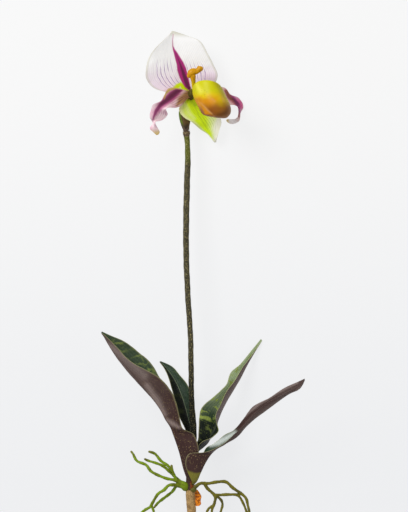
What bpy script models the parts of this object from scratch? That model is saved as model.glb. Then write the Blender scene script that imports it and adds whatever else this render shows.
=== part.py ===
"""Slipper orchid spray lying on its back, built as an assembly of its leaves, stems, roots and flower parts.

The plant's length runs along +Y, its right side is +X and the flower looks up along +Z. Guide points are in
millimetres, counted from the middle of the crown's foot, and become metres when a piece is made. At the end the
whole plant is moved so that the middle of its footprint is the origin.
"""
import math

import bmesh
import bpy
import numpy as np
from mathutils import Euler, Matrix, Vector

MM = 0.001
GAP = 0.3               # clear space between two pieces that touch
LEAF = 1.0              # thickness of a leaf
PETAL = 0.9             # thickness of a petal or sepal
WELD = 0.00005          # metres; joins the cap of a tube to its wall

# The flower's face leans to the plant's right: rise of its plane per mm of X and of Y, and where Y is counted from.
FACE_X = -0.47
FACE_Y = 0.09
FACE_MIDDLE_Y = 399.0
FACE_MIDDLE_Z = 24.0

AHEAD = 0.01            # how far along a blade its direction is measured, as a share of its length
OUT_OF_STEP = 1.3       # radians between the ripples of a blade's two margins

# Stalks: X, Y, Z of the axis and radius.
LOWER_STEM = [(1.5, -62, 32.2, 4.5), (0.9, -42, 32.8, 4.6), (0.5, -22, 33.4, 4.5), (-0.2, -8, 33.8, 4.8),
              (-0.4, 0, 34, 4.9)]
CROWN = [(-0.9, 0.3, 34, 4.6), (-1.0, 8, 34, 4.2), (-0.4, 18, 34, 4.2), (0.8, 30, 34, 4.0), (1.8, 40, 34, 3.8),
         (2.2, 50, 34, 3.5)]
SCAPE = [(2.2, 50.3, 34, 3.4), (2.0, 68, 33.6, 3.2), (0.6, 88, 33, 2.75), (0.1, 120, 31.8, 2.65),
         (-0.6, 155, 30, 2.65), (-2.9, 190, 28, 2.75), (-4.7, 230, 25.6, 2.85), (-4.9, 265, 23.4, 2.95),
         (-4.2, 300, 20.8, 3.0), (-3.3, 328, 18.8, 2.85), (-3.5, 345, 17.7, 2.55), (-4.3, 353, 17.3, 2.8),
         (-4.6, 357, 17.1, 3.6), (-4.7, 360.4, 17, 3.2)]
OVARY = [(-4.7, 360.7, 17, 2.9), (-4.3, 370, 16.8, 2.8), (-3.4, 380, 17.4, 3.0), (-2.2, 388.5, 19.6, 3.3),
         (-0.6, 394.6, 24, 3.8), (1.0, 397.0, 30, 4.0), (3.4, 396.8, 36.2, 3.3)]

# Blades: from foot to tip, each station holds one margin, the midrib and the other margin.
# In the flower's own blades the third number is a height over the leaning plane of its face.
DORSAL_SEPAL = [
    ((-3, 396.5, 0), (-0.5, 396, 0.4), (2.6, 396.3, 0)),
    ((-18, 397, 1.5), (-1, 401, 0), (12, 399, 1)),
    ((-36, 401.5, 3), (-4, 407, -0.5), (22, 404, 2)),
    ((-44.5, 411, 4), (-9, 415, -1), (25.5, 411, 3)),
    ((-45.3, 420, 4), (-12.5, 423.5, -1.5), (26.2, 417.5, 3)),
    ((-42.5, 430.5, 3), (-15, 431.5, -2), (22.5, 426, 2)),
    ((-36.5, 441, 1), (-17.5, 440, -3), (16.5, 436.5, 0)),
    ((-27.5, 450, -2), (-18.6, 448, -4.5), (9, 449, -2)),
    ((-21.5, 456, -5), (-18.6, 455, -6), (-4, 454.6, -5)),
    ((-19.4, 459, -7.4), (-18.2, 459.2, -7.2), (-16.4, 458.8, -7)),
]
SYNSEPAL = [
    ((-3.5, 393.5, -1), (-1, 392.5, 0), (2, 393.5, -1)),
    ((-9, 388.5, 0.5), (-3, 387.5, 1.5), (6, 390, 0.5)),
    ((-12, 380, 0), (0, 380.5, 1.5), (14, 386, 0)),
    ((-7.5, 373, 1), (4.5, 374, 1.6), (22, 380, 0)),
    ((1, 367.8, 2), (9.5, 367.5, 1.4), (28, 375, 0)),
    ((9, 361, 0), (14, 361.8, 0), (30.3, 368, 0)),
    ((16, 356.5, 0), (18, 356.5, 0), (28.2, 360, 1)),
    ((20.8, 351.3, 0), (22, 351, 0), (26.4, 353.5, 1)),
    ((23, 348.2, 0), (24, 347.6, 0), (25.2, 348.2, 0)),
]
PETAL_LEFT = [
    ((-2, 400, 4), (0, 397.5, 4), (1, 394, 4)),
    ((-13, 402, 4), (-8, 397.5, 5), (-4.5, 390.5, 4)),
    ((-23, 401.5, 5.5), (-16.5, 396.8, 4.5), (-10, 384.5, 4)),
    ((-26.5, 395, 7), (-22.5, 391.5, 5.5), (-15.5, 382.3, 6.5)),
    ((-30, 389, 8), (-28, 386, 5.5), (-22.5, 382.5, 9)),
    ((-38, 385, 6), (-33, 381, 6), (-25, 380.5, 10)),
    ((-40, 379, 5), (-36, 376.5, 6), (-23.4, 375.5, 4)),
    ((-41.2, 372.5, 4), (-38, 371.8, 5), (-29, 370.3, 2)),
    ((-38.2, 367.5, -0.5), (-37.4, 367.3, 3), (-36.2, 367.5, 6)),
    ((-41, 361.5, -1), (-37, 361.5, 0.5), (-33, 361.5, 1)),
    ((-37, 356.8, -2), (-34, 355.4, -2), (-31, 357.2, -1)),
]
PETAL_RIGHT = [
    ((-1, 400, 4), (0, 397.5, 4), (1, 394, 4)),
    ((10, 402.5, 4), (9, 397, 5), (8, 390, 4)),
    ((22, 404.5, 4), (21, 397, 4), (19, 388, 3)),
    ((34, 402.5, 4.5), (31, 396, 3), (28, 387, 3)),
    ((39.5, 396, 5), (37, 391.5, 2.5), (34.5, 385.5, 3)),
    ((47, 393, 3), (43, 389.5, 3), (39.5, 385.5, 6)),
    ((51.5, 388, 2), (47.5, 386.3, 3), (44, 385.2, 7)),
    ((52.3, 383, 1.4), (50, 382.5, 3), (46.6, 383, 7)),
    ((49.4, 377.8, -0.4), (48.8, 378, 3), (48, 378.4, 7)),
    ((48.8, 372.3, 0.6), (47.5, 372, 2), (46, 373, 5)),
    ((45.5, 367.3, -1), (44, 369, 0), (42, 371, 2)),
    ((39.5, 366.8, 0), (39, 369, 0), (38.3, 371.2, 1)),
    ((36.2, 368.9, 0), (35.6, 370, 0), (36, 371.2, 0)),
]
BRACT = [
    ((-7.5, 359.5, 18.5), (-5, 359, 20), (-2.5, 360, 18.8)),
    ((-9.8, 365, 18), (-5.6, 364, 21.6), (-1.4, 365.5, 18.6)),
    ((-11.6, 371.5, 17.5), (-7, 370, 21.6), (-1, 370, 18.8)),
    ((-12.2, 377.5, 17), (-9, 377, 20.4), (-4.6, 375.5, 20.6)),
    ((-11.4, 380.6, 17), (-10, 381, 18), (-8.6, 380.4, 18.6)),
]
LEAF_FRONT_LEFT = [
    ((2, 10, 37.5), (-3, 9, 35.5), (-3, 10, 32)),
    ((6, 24, 40.6), (-7.5, 21, 37.5), (-6.5, 24, 30.5)),
    ((8, 40, 41.2), (-12, 38, 39.5), (-8, 42, 31.5)),
    ((3, 54, 43), (-17, 52, 42.5), (-9.5, 58, 34)),
    ((-7, 63, 47), (-23, 66, 46), (-11.5, 73, 38)),
    ((-13.5, 80, 53), (-31, 80, 50.5), (-16, 88, 42)),
    ((-19.5, 100, 61), (-41, 93, 55.5), (-24, 102, 47)),
    ((-28.5, 110.8, 68), (-52, 105, 60.5), (-33, 114.5, 53)),
    ((-47, 121, 74), (-63, 117.5, 66), (-43, 130.5, 59.5)),
    ((-62, 131, 79), (-73, 130.5, 71), (-55, 140.5, 65.5)),
    ((-75, 144, 81), (-81, 143, 76), (-68, 149.5, 73)),
    ((-84.5, 153.8, 81.5), (-86, 152.2, 79.5), (-80.5, 155, 79)),
    ((-88.6, 157, 81), (-89.4, 157.6, 80.8), (-88.8, 158.8, 80.8)),
]
LEAF_BACK_LEFT = [
    ((-0.5, 45, 32), (1.5, 44, 31.5), (3.5, 45, 32)),
    ((-6, 61, 27), (0, 60, 26), (4, 61.5, 27.6)),
    ((-11.5, 73, 25.5), (-3, 73, 22), (3.5, 75, 25)),
    ((-15.8, 88, 23.5), (-7.5, 89, 17.5), (0.5, 91, 22)),
    ((-19.5, 102, 20), (-13, 103, 13), (-3, 104, 17.5)),
    ((-23, 113, 13.5), (-18.5, 113, 8), (-11, 114, 11.5)),
    ((-27.2, 122, 6), (-25, 121.5, 2.8), (-18.5, 123, 5)),
    ((-31.6, 127.6, -1.4), (-30.8, 128.4, -1.8), (-29.6, 128.2, -1.4)),
]
LEAF_BACK_RIGHT = [
    ((1, 37, 34.5), (2.5, 35, 33), (3, 36, 35.5)),
    ((6.6, 49, 34), (16, 45.5, 29.5), (10, 47.4, 38)),
    ((7.4, 57, 33.5), (20, 53, 28), (21, 52.6, 38.5)),
    ((8, 65, 32.5), (24, 61, 26.5), (27.4, 59, 38)),
    ((8.2, 72, 31), (26.5, 67, 25), (25.2, 67.5, 37)),
    ((9.4, 79, 29.5), (29, 73.5, 23.5), (25, 75.5, 35.5)),
    ((14, 86, 27.5), (32, 80.5, 21.5), (28.4, 83.6, 33)),
    ((24, 94, 23.5), (37, 90, 18), (33.5, 94, 29)),
    ((35, 104, 18.5), (43.5, 101, 14), (39.5, 104, 24)),
    ((39.5, 117, 13), (50, 112, 9.8), (46, 113, 18)),
    ((50, 126, 8.5), (56, 124, 6), (52.5, 123.5, 12)),
    ((60, 138.5, 2.5), (62.8, 136, 1.3), (61.5, 135.5, 4.5)),
    ((70, 150.6, -1.6), (71, 149.8, -1.8), (71.2, 148.8, -1.3)),
]
LEAF_FRONT_RIGHT = [
    ((0, 5.4, 37.4), (1.6, 4.6, 36.5), (2.4, 6, 34.8)),
    ((0.8, 8.4, 41), (5.6, 8.6, 38.4), (5.6, 10.6, 33)),
    ((-3, 17.5, 43), (9.5, 17, 39.5), (8, 20, 32.5)),
    ((-5.8, 27, 44), (14, 26, 41), (10.5, 30, 34)),
    ((-2, 36.3, 46), (20, 35.3, 43.5), (14.5, 40.5, 37.5)),
    ((13, 37.6, 49.5), (28, 43.2, 46), (22, 46.5, 41)),
    ((27, 43.8, 52.5), (37.5, 50.5, 49.5), (30.5, 53, 45)),
    ((40, 52.5, 56.5), (47.5, 57.5, 53), (43.5, 60.5, 49.5)),
    ((51, 63.5, 61), (57, 66.5, 57), (51.5, 71, 54.5)),
    ((63, 77, 66), (68, 75, 61.5), (62, 83.5, 60)),
    ((78, 88.5, 70), (83, 86.3, 66), (77, 92, 65.5)),
    ((92, 96.4, 73), (98, 96.5, 70), (92, 101.8, 70)),
    ((104, 103.6, 75), (108, 101.2, 73.6), (104, 107.4, 73.6)),
    ((112.2, 109, 75), (113.4, 110, 75), (113.4, 111.8, 75)),
]
PAPER_SCRAP = [
    ((2.5, 0.5, 35), (4.5, 0.3, 36), (6.5, 0.2, 35)),
    ((2.5, -3.5, 35), (5.5, -3.6, 36.5), (8.6, -3, 34)),
    ((2.5, -7.5, 35), (6.5, -7.4, 34.5), (10.2, -6.6, 36.5)),
    ((2.5, -11, 35), (6.5, -11, 36.5), (9.6, -11, 34)),
    ((3, -14, 35), (6.4, -14.4, 35), (10, -14, 36)),
    ((4, -15.8, 35), (6.2, -16.2, 35.5), (8, -16, 35.5)),
]

# The pouch: rings from the rolled lip over the mouth's rim down to the toe.
# Centre X, Y, Z, half width, half depth, and how much higher the ring's peak is than its middle.
POUCH = [(17, 400.6, 50, 11.6, 14.4, 7), (16.6, 403, 50, 12.6, 15.6, 7.6), (16.6, 401.6, 50, 14.2, 17, 7),
         (17.6, 397.4, 50, 15.6, 18.8, 4), (19, 393, 50.5, 16.2, 19.8, 2.2), (21.2, 388, 51.2, 16.2, 20.4, 1),
         (23.4, 382.6, 52, 15.6, 20, 0), (24.6, 377.8, 53, 14.4, 18, 0), (24.6, 374.2, 54, 11.6, 14, 0),
         (25, 372.2, 54.6, 6.6, 8, 0), (25.4, 371.6, 54.8, 0, 0, 0)]
POUCH_SIDE = (0.9, 0, -0.43)        # direction of a ring's half width
POUCH_FRONT = (0.43, -0.09, 0.9)    # direction of a ring's half depth
POUCH_WALL = 1.0
POUCH_SEGMENTS = 24
POUCH_ROWS = 17
RIM_PEAK = math.radians(122)         # where round the rim its highest point is
CREASE_START, CREASE_END = math.radians(176), math.radians(96)  # where the left side's crease starts and ends
CREASE_WIDTH = 0.2                  # radians
CREASE_HEIGHT = 1.0

# The column: centre, half sizes and turn about Z in degrees of each lobe, then its stalk.
COLUMN_LOBES = [((-1.2, 415.6, 45.5), (5.6, 2.4, 1.8), 58), ((2.2, 417.2, 45.6), (4.4, 4.4, 2.2), 0),
                ((7.6, 420.4, 45), (6.2, 2.9, 1.9), 42)]
COLUMN_STALK = [(3.4, 399, 36.5, 1.8), (2.2, 403.5, 40.5, 1.7), (1.4, 409.5, 44, 1.8), (1.8, 414, 45.6, 2.0)]

# Roots: axis and radius, the first point of each one sunk in the knot or in the root it grows from.
KNOT_LEFT = ((-7.2, 4.6, 35.5), (4.6, 5.6, 4.4))
ROOTS_LEFT = [
    [(-8, 7, 36, 1.6), (-17, 10, 37.5, 1.3), (-26, 12, 38, 1.2), (-39, 18, 37, 1.2), (-45, 25, 35, 1.2),
     (-54, 29, 33.5, 1.1), (-58, 36, 32.5, 1.0), (-60.5, 39, 32, 0.9)],
    [(-9, 7, 35, 1.6), (-16, 13, 33.5, 1.3), (-22, 23, 31.5, 1.2), (-30, 29, 30.5, 1.2), (-36, 36, 30, 1.1),
     (-43, 38.5, 30, 1.0)],
    [(-16, 13, 33.5, 1.1), (-21, 18, 36, 1.2), (-28, 24, 40, 1.2), (-35, 27, 42, 1.1), (-43, 29.5, 42.5, 1.0),
     (-47, 31.5, 42.5, 0.9)],
    [(-14.5, 10, 36.5, 1.1), (-18, 18, 39, 1.0), (-19.7, 25.5, 40.5, 0.9)],
    [(-8, 4, 36, 1.6), (-21, 5, 37, 1.3), (-27, 0, 38, 1.3), (-33, -4, 38, 1.2), (-38, -12, 37, 1.2),
     (-41, -17, 36, 1.2), (-46, -20, 35, 1.1), (-52, -25, 34, 1.0), (-54, -31, 33.5, 0.9)],
    [(-39.5, -15, 36.5, 1.0), (-37.8, -20, 35, 1.0), (-36, -26, 33, 0.9)],
    [(-7, 2, 34, 1.6), (-14, 4, 32, 1.3), (-19, -2, 30.5, 1.2), (-28, -9, 29, 1.2), (-33, -13, 28.5, 1.1),
     (-37.5, -18.5, 28, 0.9)],
]
KNOT_RIGHT = ((2.6, 0.2, 39.9), (3.2, 2.3, 2.2))
ROOTS_RIGHT = [
    [(2.8, 1.6, 40.6, 1.5), (9, 6.5, 39.8, 1.4), (17, 6.5, 38, 1.3), (26, 8, 37, 1.3), (35, 8, 36, 1.3),
     (42, 2, 35, 1.3), (54, -7, 34, 1.2), (57, -16, 33.5, 1.1), (59, -26, 33, 1.0), (60, -33, 32.5, 0.9)],
    [(13, 6.5, 38.7, 1.3), (17, 1, 36, 1.3), (24, -6, 34.5, 1.3), (23.5, -13, 33.5, 1.2), (21, -20, 33, 1.1),
     (20.5, -30, 32.5, 0.9)],
    [(24, -5, 34.6, 1.1), (29, -5, 35, 1.2), (38, -4.6, 35.5, 1.2), (47, -5.6, 34, 1.1), (52.5, -14, 32, 1.0),
     (56, -24, 30.5, 1.0), (57, -33, 30, 0.9)],
    [(25, -5.5, 34.6, 1.1), (30, -10, 33, 1.1), (31.5, -15, 32, 1.0), (30, -21, 31, 1.0), (28.5, -29, 30.5, 0.9)],
    [(21.5, -15.5, 33.4, 1.0), (17.5, -19, 33.5, 1.0), (15, -24, 33.5, 0.9)],
]
ROOT_SIDES_LEVEL = 1
ROOT_STEPS = 2

# How each blade is made: guide points, rows, columns, thickness, material, height and number of its margin's
# ripples, and how far each half bulges.
FLOWER_BLADES = {
    "dorsal_sepal": (DORSAL_SEPAL, 18, 12, PETAL, "sepal_white", 0.7, 3, 0.0),
    "synsepal": (SYNSEPAL, 16, 6, PETAL, "sepal_lime", 0.3, 2, 0.6),
    "petal_left": (PETAL_LEFT, 24, 6, PETAL, "petal_left_pink", 0.4, 4, 0.4),
    "petal_right": (PETAL_RIGHT, 26, 6, PETAL, "petal_right_crimson", 0.3, 4, 0.4),
}
STALK_BLADES = {
    "bract": (BRACT, 10, 6, PETAL, "bract_green", 0.0, 0, 0.0),
    "leaf_front_left": (LEAF_FRONT_LEFT, 30, 8, LEAF, "leaf_purple_back", 0.8, 5, 0.8),
    "leaf_back_left": (LEAF_BACK_LEFT, 16, 6, LEAF, "leaf_dark", 0.5, 3, -0.6),
    "leaf_back_right": (LEAF_BACK_RIGHT, 28, 6, LEAF, "leaf_mottled", 0.7, 5, -0.6),
    "leaf_front_right": (LEAF_FRONT_RIGHT, 30, 6, LEAF, "leaf_barred", 0.5, 5, 0.4),
    "paper_scrap": (PAPER_SCRAP, 10, 6, PETAL, "scrap_orange", 0.3, 3, 0.3),
}

# Colour, roughness and metallic share of each material.
MATERIALS = {
    "wrapped_stem": ((0.42, 0.30, 0.17), 0.7, 0.0),
    "crown_core": ((0.13, 0.07, 0.06), 0.6, 0.0),
    "flower_stalk": ((0.16, 0.13, 0.07), 0.8, 0.0),
    "ovary_green": ((0.20, 0.22, 0.08), 0.6, 0.0),
    "bract_green": ((0.22, 0.25, 0.08), 0.6, 0.0),
    "sepal_white": ((0.82, 0.74, 0.76), 0.55, 0.0),
    "sepal_lime": ((0.58, 0.64, 0.22), 0.55, 0.0),
    "petal_left_pink": ((0.62, 0.38, 0.42), 0.55, 0.0),
    "petal_right_crimson": ((0.55, 0.16, 0.27), 0.55, 0.0),
    "pouch_amber": ((0.72, 0.47, 0.10), 0.3, 0.0),
    "column_gold": ((0.66, 0.42, 0.09), 0.45, 0.0),
    "leaf_purple_back": ((0.24, 0.17, 0.16), 0.55, 0.0),
    "leaf_dark": ((0.05, 0.09, 0.04), 0.5, 0.0),
    "leaf_mottled": ((0.12, 0.22, 0.09), 0.5, 0.0),
    "leaf_barred": ((0.20, 0.30, 0.12), 0.5, 0.0),
    "root_bright": ((0.30, 0.44, 0.07), 0.5, 0.0),
    "root_olive": ((0.25, 0.27, 0.09), 0.55, 0.0),
    "scrap_orange": ((0.70, 0.32, 0.08), 0.7, 0.0),
}


def between(points, share):
    """Smooth curve through the points, read at a share from 0 to 1 of the way."""
    points = np.asarray(points, dtype=float)
    last = len(points) - 1
    place = min(max(share, 0.0), 1.0) * last
    i = min(int(place), last - 1)
    t = place - i
    a, b, c, d = (points[min(max(i + k, 0), last)] for k in (-1, 0, 1, 2))
    return b + 0.5 * t * (c - a + t * (2 * a - 5 * b + 4 * c - d + t * (3 * (b - c) + d - a)))


def on_face(stations):
    """Turns heights over the flower's leaning face into Z."""
    return [[(x, y, FACE_MIDDLE_Z + h + FACE_X * x + FACE_Y * (y - FACE_MIDDLE_Y)) for x, y, h in row]
            for row in stations]


def material(name):
    colour, rough, metal = MATERIALS[name]
    made = bpy.data.materials.new(name)
    made.use_nodes = True
    shader = made.node_tree.nodes["Principled BSDF"]
    shader.inputs["Base Color"].default_value = (*colour, 1)
    shader.inputs["Roughness"].default_value = rough
    shader.inputs["Metallic"].default_value = metal
    made.diffuse_color = (*colour, 1)
    return made


def keep(name, mesh, paint, home):
    obj = bpy.data.objects.new(name, mesh)
    home.objects.link(obj)
    if paint:
        mesh.materials.append(paint)
    return obj


def wave_at(share, across, height, count):
    """Ripple of a margin: none at the rib and at both ends, out of step on the two sides."""
    fade = math.sin(math.pi * share) * across * across
    return height * fade * math.sin(2 * math.pi * count * share + (OUT_OF_STEP if across > 0 else 0.0))


def blade(name, how, paint, home):
    """A leaf or petal: a grid laid on its margins and rib, rippled, then given its thickness."""
    stations, rows, columns, thick, slot, wave, waves, bulge = how
    stations = np.asarray(stations, dtype=float)
    bm = bmesh.new()
    bmesh.ops.create_grid(bm, x_segments=columns, y_segments=rows, size=1)
    for v in bm.verts:
        across, share = v.co.x, (v.co.y + 1) / 2
        one, rib, other = between(stations, share)
        ahead = between(stations, share + AHEAD)[1] - between(stations, share - AHEAD)[1]
        normal = np.cross(other - one, ahead)
        normal /= np.linalg.norm(normal)
        side = other if across > 0 else one
        out = abs(across)
        lift = bulge * 4 * out * (1 - out) * math.sin(math.pi * share) + wave_at(share, across, wave, waves)
        v.co = Vector((rib + (side - rib) * out + normal * lift) * MM)
    bmesh.ops.triangulate(bm, faces=bm.faces[:], quad_method="SHORT_EDGE")
    mesh = bpy.data.meshes.new(name)
    bm.to_mesh(mesh)
    bm.free()
    obj = keep(name, mesh, paint[slot], home)
    skin = obj.modifiers.new("thickness", "SOLIDIFY")
    skin.thickness = thick * MM
    skin.offset = 0
    return obj


def tube(name, axis, paint, home, steps=3, level=4, grow=0.0, longer=0.0):
    """A stalk: a curve with a radius at each of its points, turned into a mesh with closed ends."""
    axis = np.asarray(axis, dtype=float)
    count = (len(axis) - 1) * steps + 1
    points = [between(axis, i / (count - 1)) for i in range(count)]
    if longer:
        for end, inner in ((0, 1), (-1, -2)):
            way = points[end][:3] - points[inner][:3]
            points[end] = points[end].copy()
            points[end][:3] += way / np.linalg.norm(way) * longer
    data = bpy.data.curves.new(name, "CURVE")
    data.dimensions = "3D"
    data.bevel_depth = MM
    data.bevel_resolution = level
    data.use_fill_caps = True
    spline = data.splines.new("POLY")
    spline.points.add(count - 1)
    for target, point in zip(spline.points, points):
        target.co = (*(point[:3] * MM), 1)
        target.radius = point[3] + grow
    curve = bpy.data.objects.new(name + "_curve", data)
    home.objects.link(curve)
    bpy.context.view_layer.update()
    mesh = bpy.data.meshes.new_from_object(curve.evaluated_get(bpy.context.evaluated_depsgraph_get()))
    bpy.data.objects.remove(curve)
    bm = bmesh.new()
    bm.from_mesh(mesh)
    bmesh.ops.remove_doubles(bm, verts=bm.verts[:], dist=WELD)
    bmesh.ops.recalc_face_normals(bm, faces=bm.faces[:])
    bm.to_mesh(mesh)
    bm.free()
    mesh.name = name
    return keep(name, mesh, paint, home)


def ball(name, middle, halves, turn, paint, home, around=12, up=8):
    bm = bmesh.new()
    bmesh.ops.create_uvsphere(bm, u_segments=around, v_segments=up, radius=1)
    bm.transform(Matrix.LocRotScale(Vector(middle) * MM, Euler((0, 0, math.radians(turn))), Vector(halves) * MM))
    mesh = bpy.data.meshes.new(name)
    bm.to_mesh(mesh)
    bm.free()
    return keep(name, mesh, paint, home)


def combine(obj, others, operation, hidden):
    """Joins the others to a piece, or cuts them from it; they stay as hidden helpers."""
    for i, other in enumerate(others):
        if other.name not in hidden.objects:
            for home in list(other.users_collection):
                home.objects.unlink(other)
            hidden.objects.link(other)
            other.hide_render = True
            other.display_type = "WIRE"
        step = obj.modifiers.new(f"{operation.lower()}_{i}", "BOOLEAN")
        step.operation = operation
        step.solver = "EXACT"
        step.object = other


def pouch_point(around, share):
    """One point of the pouch's outer skin: around in radians, share 0 at the lip and 1 at the toe."""
    x, y, z, wide, deep, lift = between(POUCH, share)
    crease = CREASE_START + (CREASE_END - CREASE_START) * share
    ridge = CREASE_HEIGHT * math.exp(-((around - crease) / CREASE_WIDTH) ** 2) * math.sin(math.pi * share)
    flat = CREASE_HEIGHT * math.exp(-((around - crease - 3 * CREASE_WIDTH) / (2 * CREASE_WIDTH)) ** 2)
    grow = 1 + (ridge - flat * math.sin(math.pi * share)) / max(deep, 1.0)
    side = Vector(POUCH_SIDE) * (wide * grow * math.cos(around))
    front = Vector(POUCH_FRONT) * (deep * grow * math.sin(around))
    return Vector((x, y + lift * math.cos(around - RIM_PEAK), z)) + side + front


def pouch(name, paint, home):
    """A grid rolled into a bag: its long edges meet at the back, its last row closes the toe."""
    bm = bmesh.new()
    bmesh.ops.create_grid(bm, x_segments=POUCH_SEGMENTS, y_segments=POUCH_ROWS, size=1)
    for v in bm.verts:
        around = math.pi * (v.co.x + 1) - math.pi / 2
        v.co = pouch_point(around, (v.co.y + 1) / 2) * MM
    bmesh.ops.remove_doubles(bm, verts=bm.verts[:], dist=WELD)
    bmesh.ops.triangulate(bm, faces=[f for f in bm.faces if len(f.verts) > 3], quad_method="SHORT_EDGE")
    bmesh.ops.recalc_face_normals(bm, faces=bm.faces[:])
    mesh = bpy.data.meshes.new(name)
    bm.to_mesh(mesh)
    bm.free()
    obj = keep(name, mesh, paint, home)
    skin = obj.modifiers.new("thickness", "SOLIDIFY")
    skin.thickness = POUCH_WALL * MM
    skin.offset = -1
    return obj


def root_bunch(name, knot, roots, paint, home, hidden):
    middle, halves = knot
    bunch = ball(name, middle, halves, 0, paint, home)
    fine = [tube(f"{name}_{i}", axis, None, home, steps=ROOT_STEPS, level=ROOT_SIDES_LEVEL)
            for i, axis in enumerate(roots)]
    combine(bunch, fine, "UNION", hidden)
    return bunch


def build():
    for obj in list(bpy.data.objects):
        bpy.data.objects.remove(obj)
    home = bpy.data.collections.new("slipper_orchid")
    hidden = bpy.data.collections.new("cutters")
    bpy.context.scene.collection.children.link(home)
    bpy.context.scene.collection.children.link(hidden)
    paint = {name: material(name) for name in MATERIALS}

    tube("lower_stem", LOWER_STEM, paint["wrapped_stem"], home)
    tube("crown", CROWN, paint["crown_core"], home, steps=2)
    tube("scape", SCAPE, paint["flower_stalk"], home, steps=2)
    tube("ovary", OVARY, paint["ovary_green"], home, steps=2)
    clear = {name: tube(f"{name}_clearance", axis, None, home, steps=2, grow=GAP, longer=GAP)
             for name, axis in (("stem", LOWER_STEM), ("crown", CROWN), ("scape", SCAPE), ("ovary", OVARY))}

    for name, (stations, *how) in FLOWER_BLADES.items():
        combine(blade(name, (on_face(stations), *how), paint, home), [clear["ovary"]], "DIFFERENCE", hidden)
    combine(pouch("pouch", paint["pouch_amber"], home), [clear["ovary"]], "DIFFERENCE", hidden)
    stalks = {name: blade(name, how, paint, home) for name, how in STALK_BLADES.items()}
    combine(stalks.pop("bract"), [clear["ovary"], clear["scape"]], "DIFFERENCE", hidden)
    scrap = stalks.pop("paper_scrap")
    for leaf in stalks.values():
        combine(leaf, [clear["crown"], clear["scape"]], "DIFFERENCE", hidden)

    lobes = [ball(f"column_lobe_{i}", middle, halves, turn, None, home)
             for i, (middle, halves, turn) in enumerate(COLUMN_LOBES)]
    column = tube("column", COLUMN_STALK, paint["column_gold"], home, steps=2, level=3)
    combine(column, lobes, "UNION", hidden)
    combine(column, [clear["ovary"]], "DIFFERENCE", hidden)

    left = root_bunch("roots_left", KNOT_LEFT, ROOTS_LEFT, paint["root_bright"], home, hidden)
    right = root_bunch("roots_right", KNOT_RIGHT, ROOTS_RIGHT, paint["root_olive"], home, hidden)
    for piece in (left, right, scrap):
        combine(piece, [clear["stem"], clear["crown"]], "DIFFERENCE", hidden)
    return home, hidden


def set_down(home, hidden):
    """Moves the plant so that the middle of its footprint is the origin and its lowest point is at Z 0."""
    bpy.context.view_layer.update()
    graph = bpy.context.evaluated_depsgraph_get()
    corners = []
    for obj in home.objects:
        seen = obj.evaluated_get(graph)
        corners += [seen.matrix_world @ v.co for v in seen.data.vertices]
    low = [min(c[i] for c in corners) for i in range(3)]
    high = [max(c[i] for c in corners) for i in range(3)]
    move = Vector((-(low[0] + high[0]) / 2, -(low[1] + high[1]) / 2, -low[2]))
    for obj in [*home.objects, *hidden.objects]:
        obj.location += move


set_down(*build())
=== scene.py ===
"""Slipper orchid spray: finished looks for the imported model, laid out as an add-on.

Lengths in the guide points are millimetres in the plant's own frame, X to the right, Y up the stalk and Z off
the floor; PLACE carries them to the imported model's frame.
"""
import math
import random

import bmesh
import bpy
import numpy as np
from bpy.props import FloatProperty, FloatVectorProperty, PointerProperty
from mathutils import Matrix, Vector, noise


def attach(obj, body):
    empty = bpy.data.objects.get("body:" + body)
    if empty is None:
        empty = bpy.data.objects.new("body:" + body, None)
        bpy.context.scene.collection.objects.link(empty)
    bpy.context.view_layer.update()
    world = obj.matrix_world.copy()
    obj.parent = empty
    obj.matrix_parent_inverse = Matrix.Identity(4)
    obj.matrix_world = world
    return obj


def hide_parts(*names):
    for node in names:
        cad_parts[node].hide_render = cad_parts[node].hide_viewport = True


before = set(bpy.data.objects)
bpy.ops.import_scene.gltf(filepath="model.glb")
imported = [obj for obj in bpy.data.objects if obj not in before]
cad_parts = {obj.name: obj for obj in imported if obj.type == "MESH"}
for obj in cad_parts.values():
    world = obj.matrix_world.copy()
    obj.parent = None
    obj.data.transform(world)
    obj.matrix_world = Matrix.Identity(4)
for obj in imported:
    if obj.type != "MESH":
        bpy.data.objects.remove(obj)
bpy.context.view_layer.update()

bl_info = {
    "name": "Slipper orchid spray",
    "version": (1, 0, 0),
    "blender": (4, 5, 0),
    "location": "3D View > Sidebar > Orchid",
    "description": "Builds the finished slipper orchid spray around its packed model",
    "category": "Add Mesh",
}

MM = 0.001
PLACE = Vector((-0.0119893, -0.1985527, 0.0022922))   # from the plant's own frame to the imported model's frame
WELD = 0.02 * MM            # points closer than this are one
FAR = 1e9                   # longer than any distance here
TINY = 1e-9                 # keeps a sum off zero
POUCH_WALL = 0.9 * MM
BRACT_THICK = 0.8 * MM
SCRAP_THICK = 0.35 * MM
COLUMN_GRAIN = 0.3 * MM     # size of the cells that fuse the column's parts
POUCH_GRID = (180, 130)     # faces round the pouch and from its lip to its toe
ROOT_PLUMP = 1.28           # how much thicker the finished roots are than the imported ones
STALK_PLUMP = 1.02          # the same for the flower stalk
TAPE_TURN = 9.0             # millimetres of stem that one turn of the tape covers

# Hairs of the flower stalk.
FURRED = 310                # furred length in millimetres
TUFT = 150                  # hairs in one bmesh, which stays quick while it is small
HAIR_FOOT = 0.08 * MM       # radius at the foot
HAIR_TIP = 0.015 * MM       # radius at the tip
HAIR_DEPTH = 0.96           # where in the stalk a hair's foot is, as a share of its radius
HAIR_LEAN = (-0.2, 0.7)     # how far hairs lean along the stalk
HAIR_SHARE = (0.5, 1.0)     # shortest and longest hair as a share of the hair length
AHEAD_FUR = 0.004           # how far along the stalk its direction is measured, as a share of its length

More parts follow.
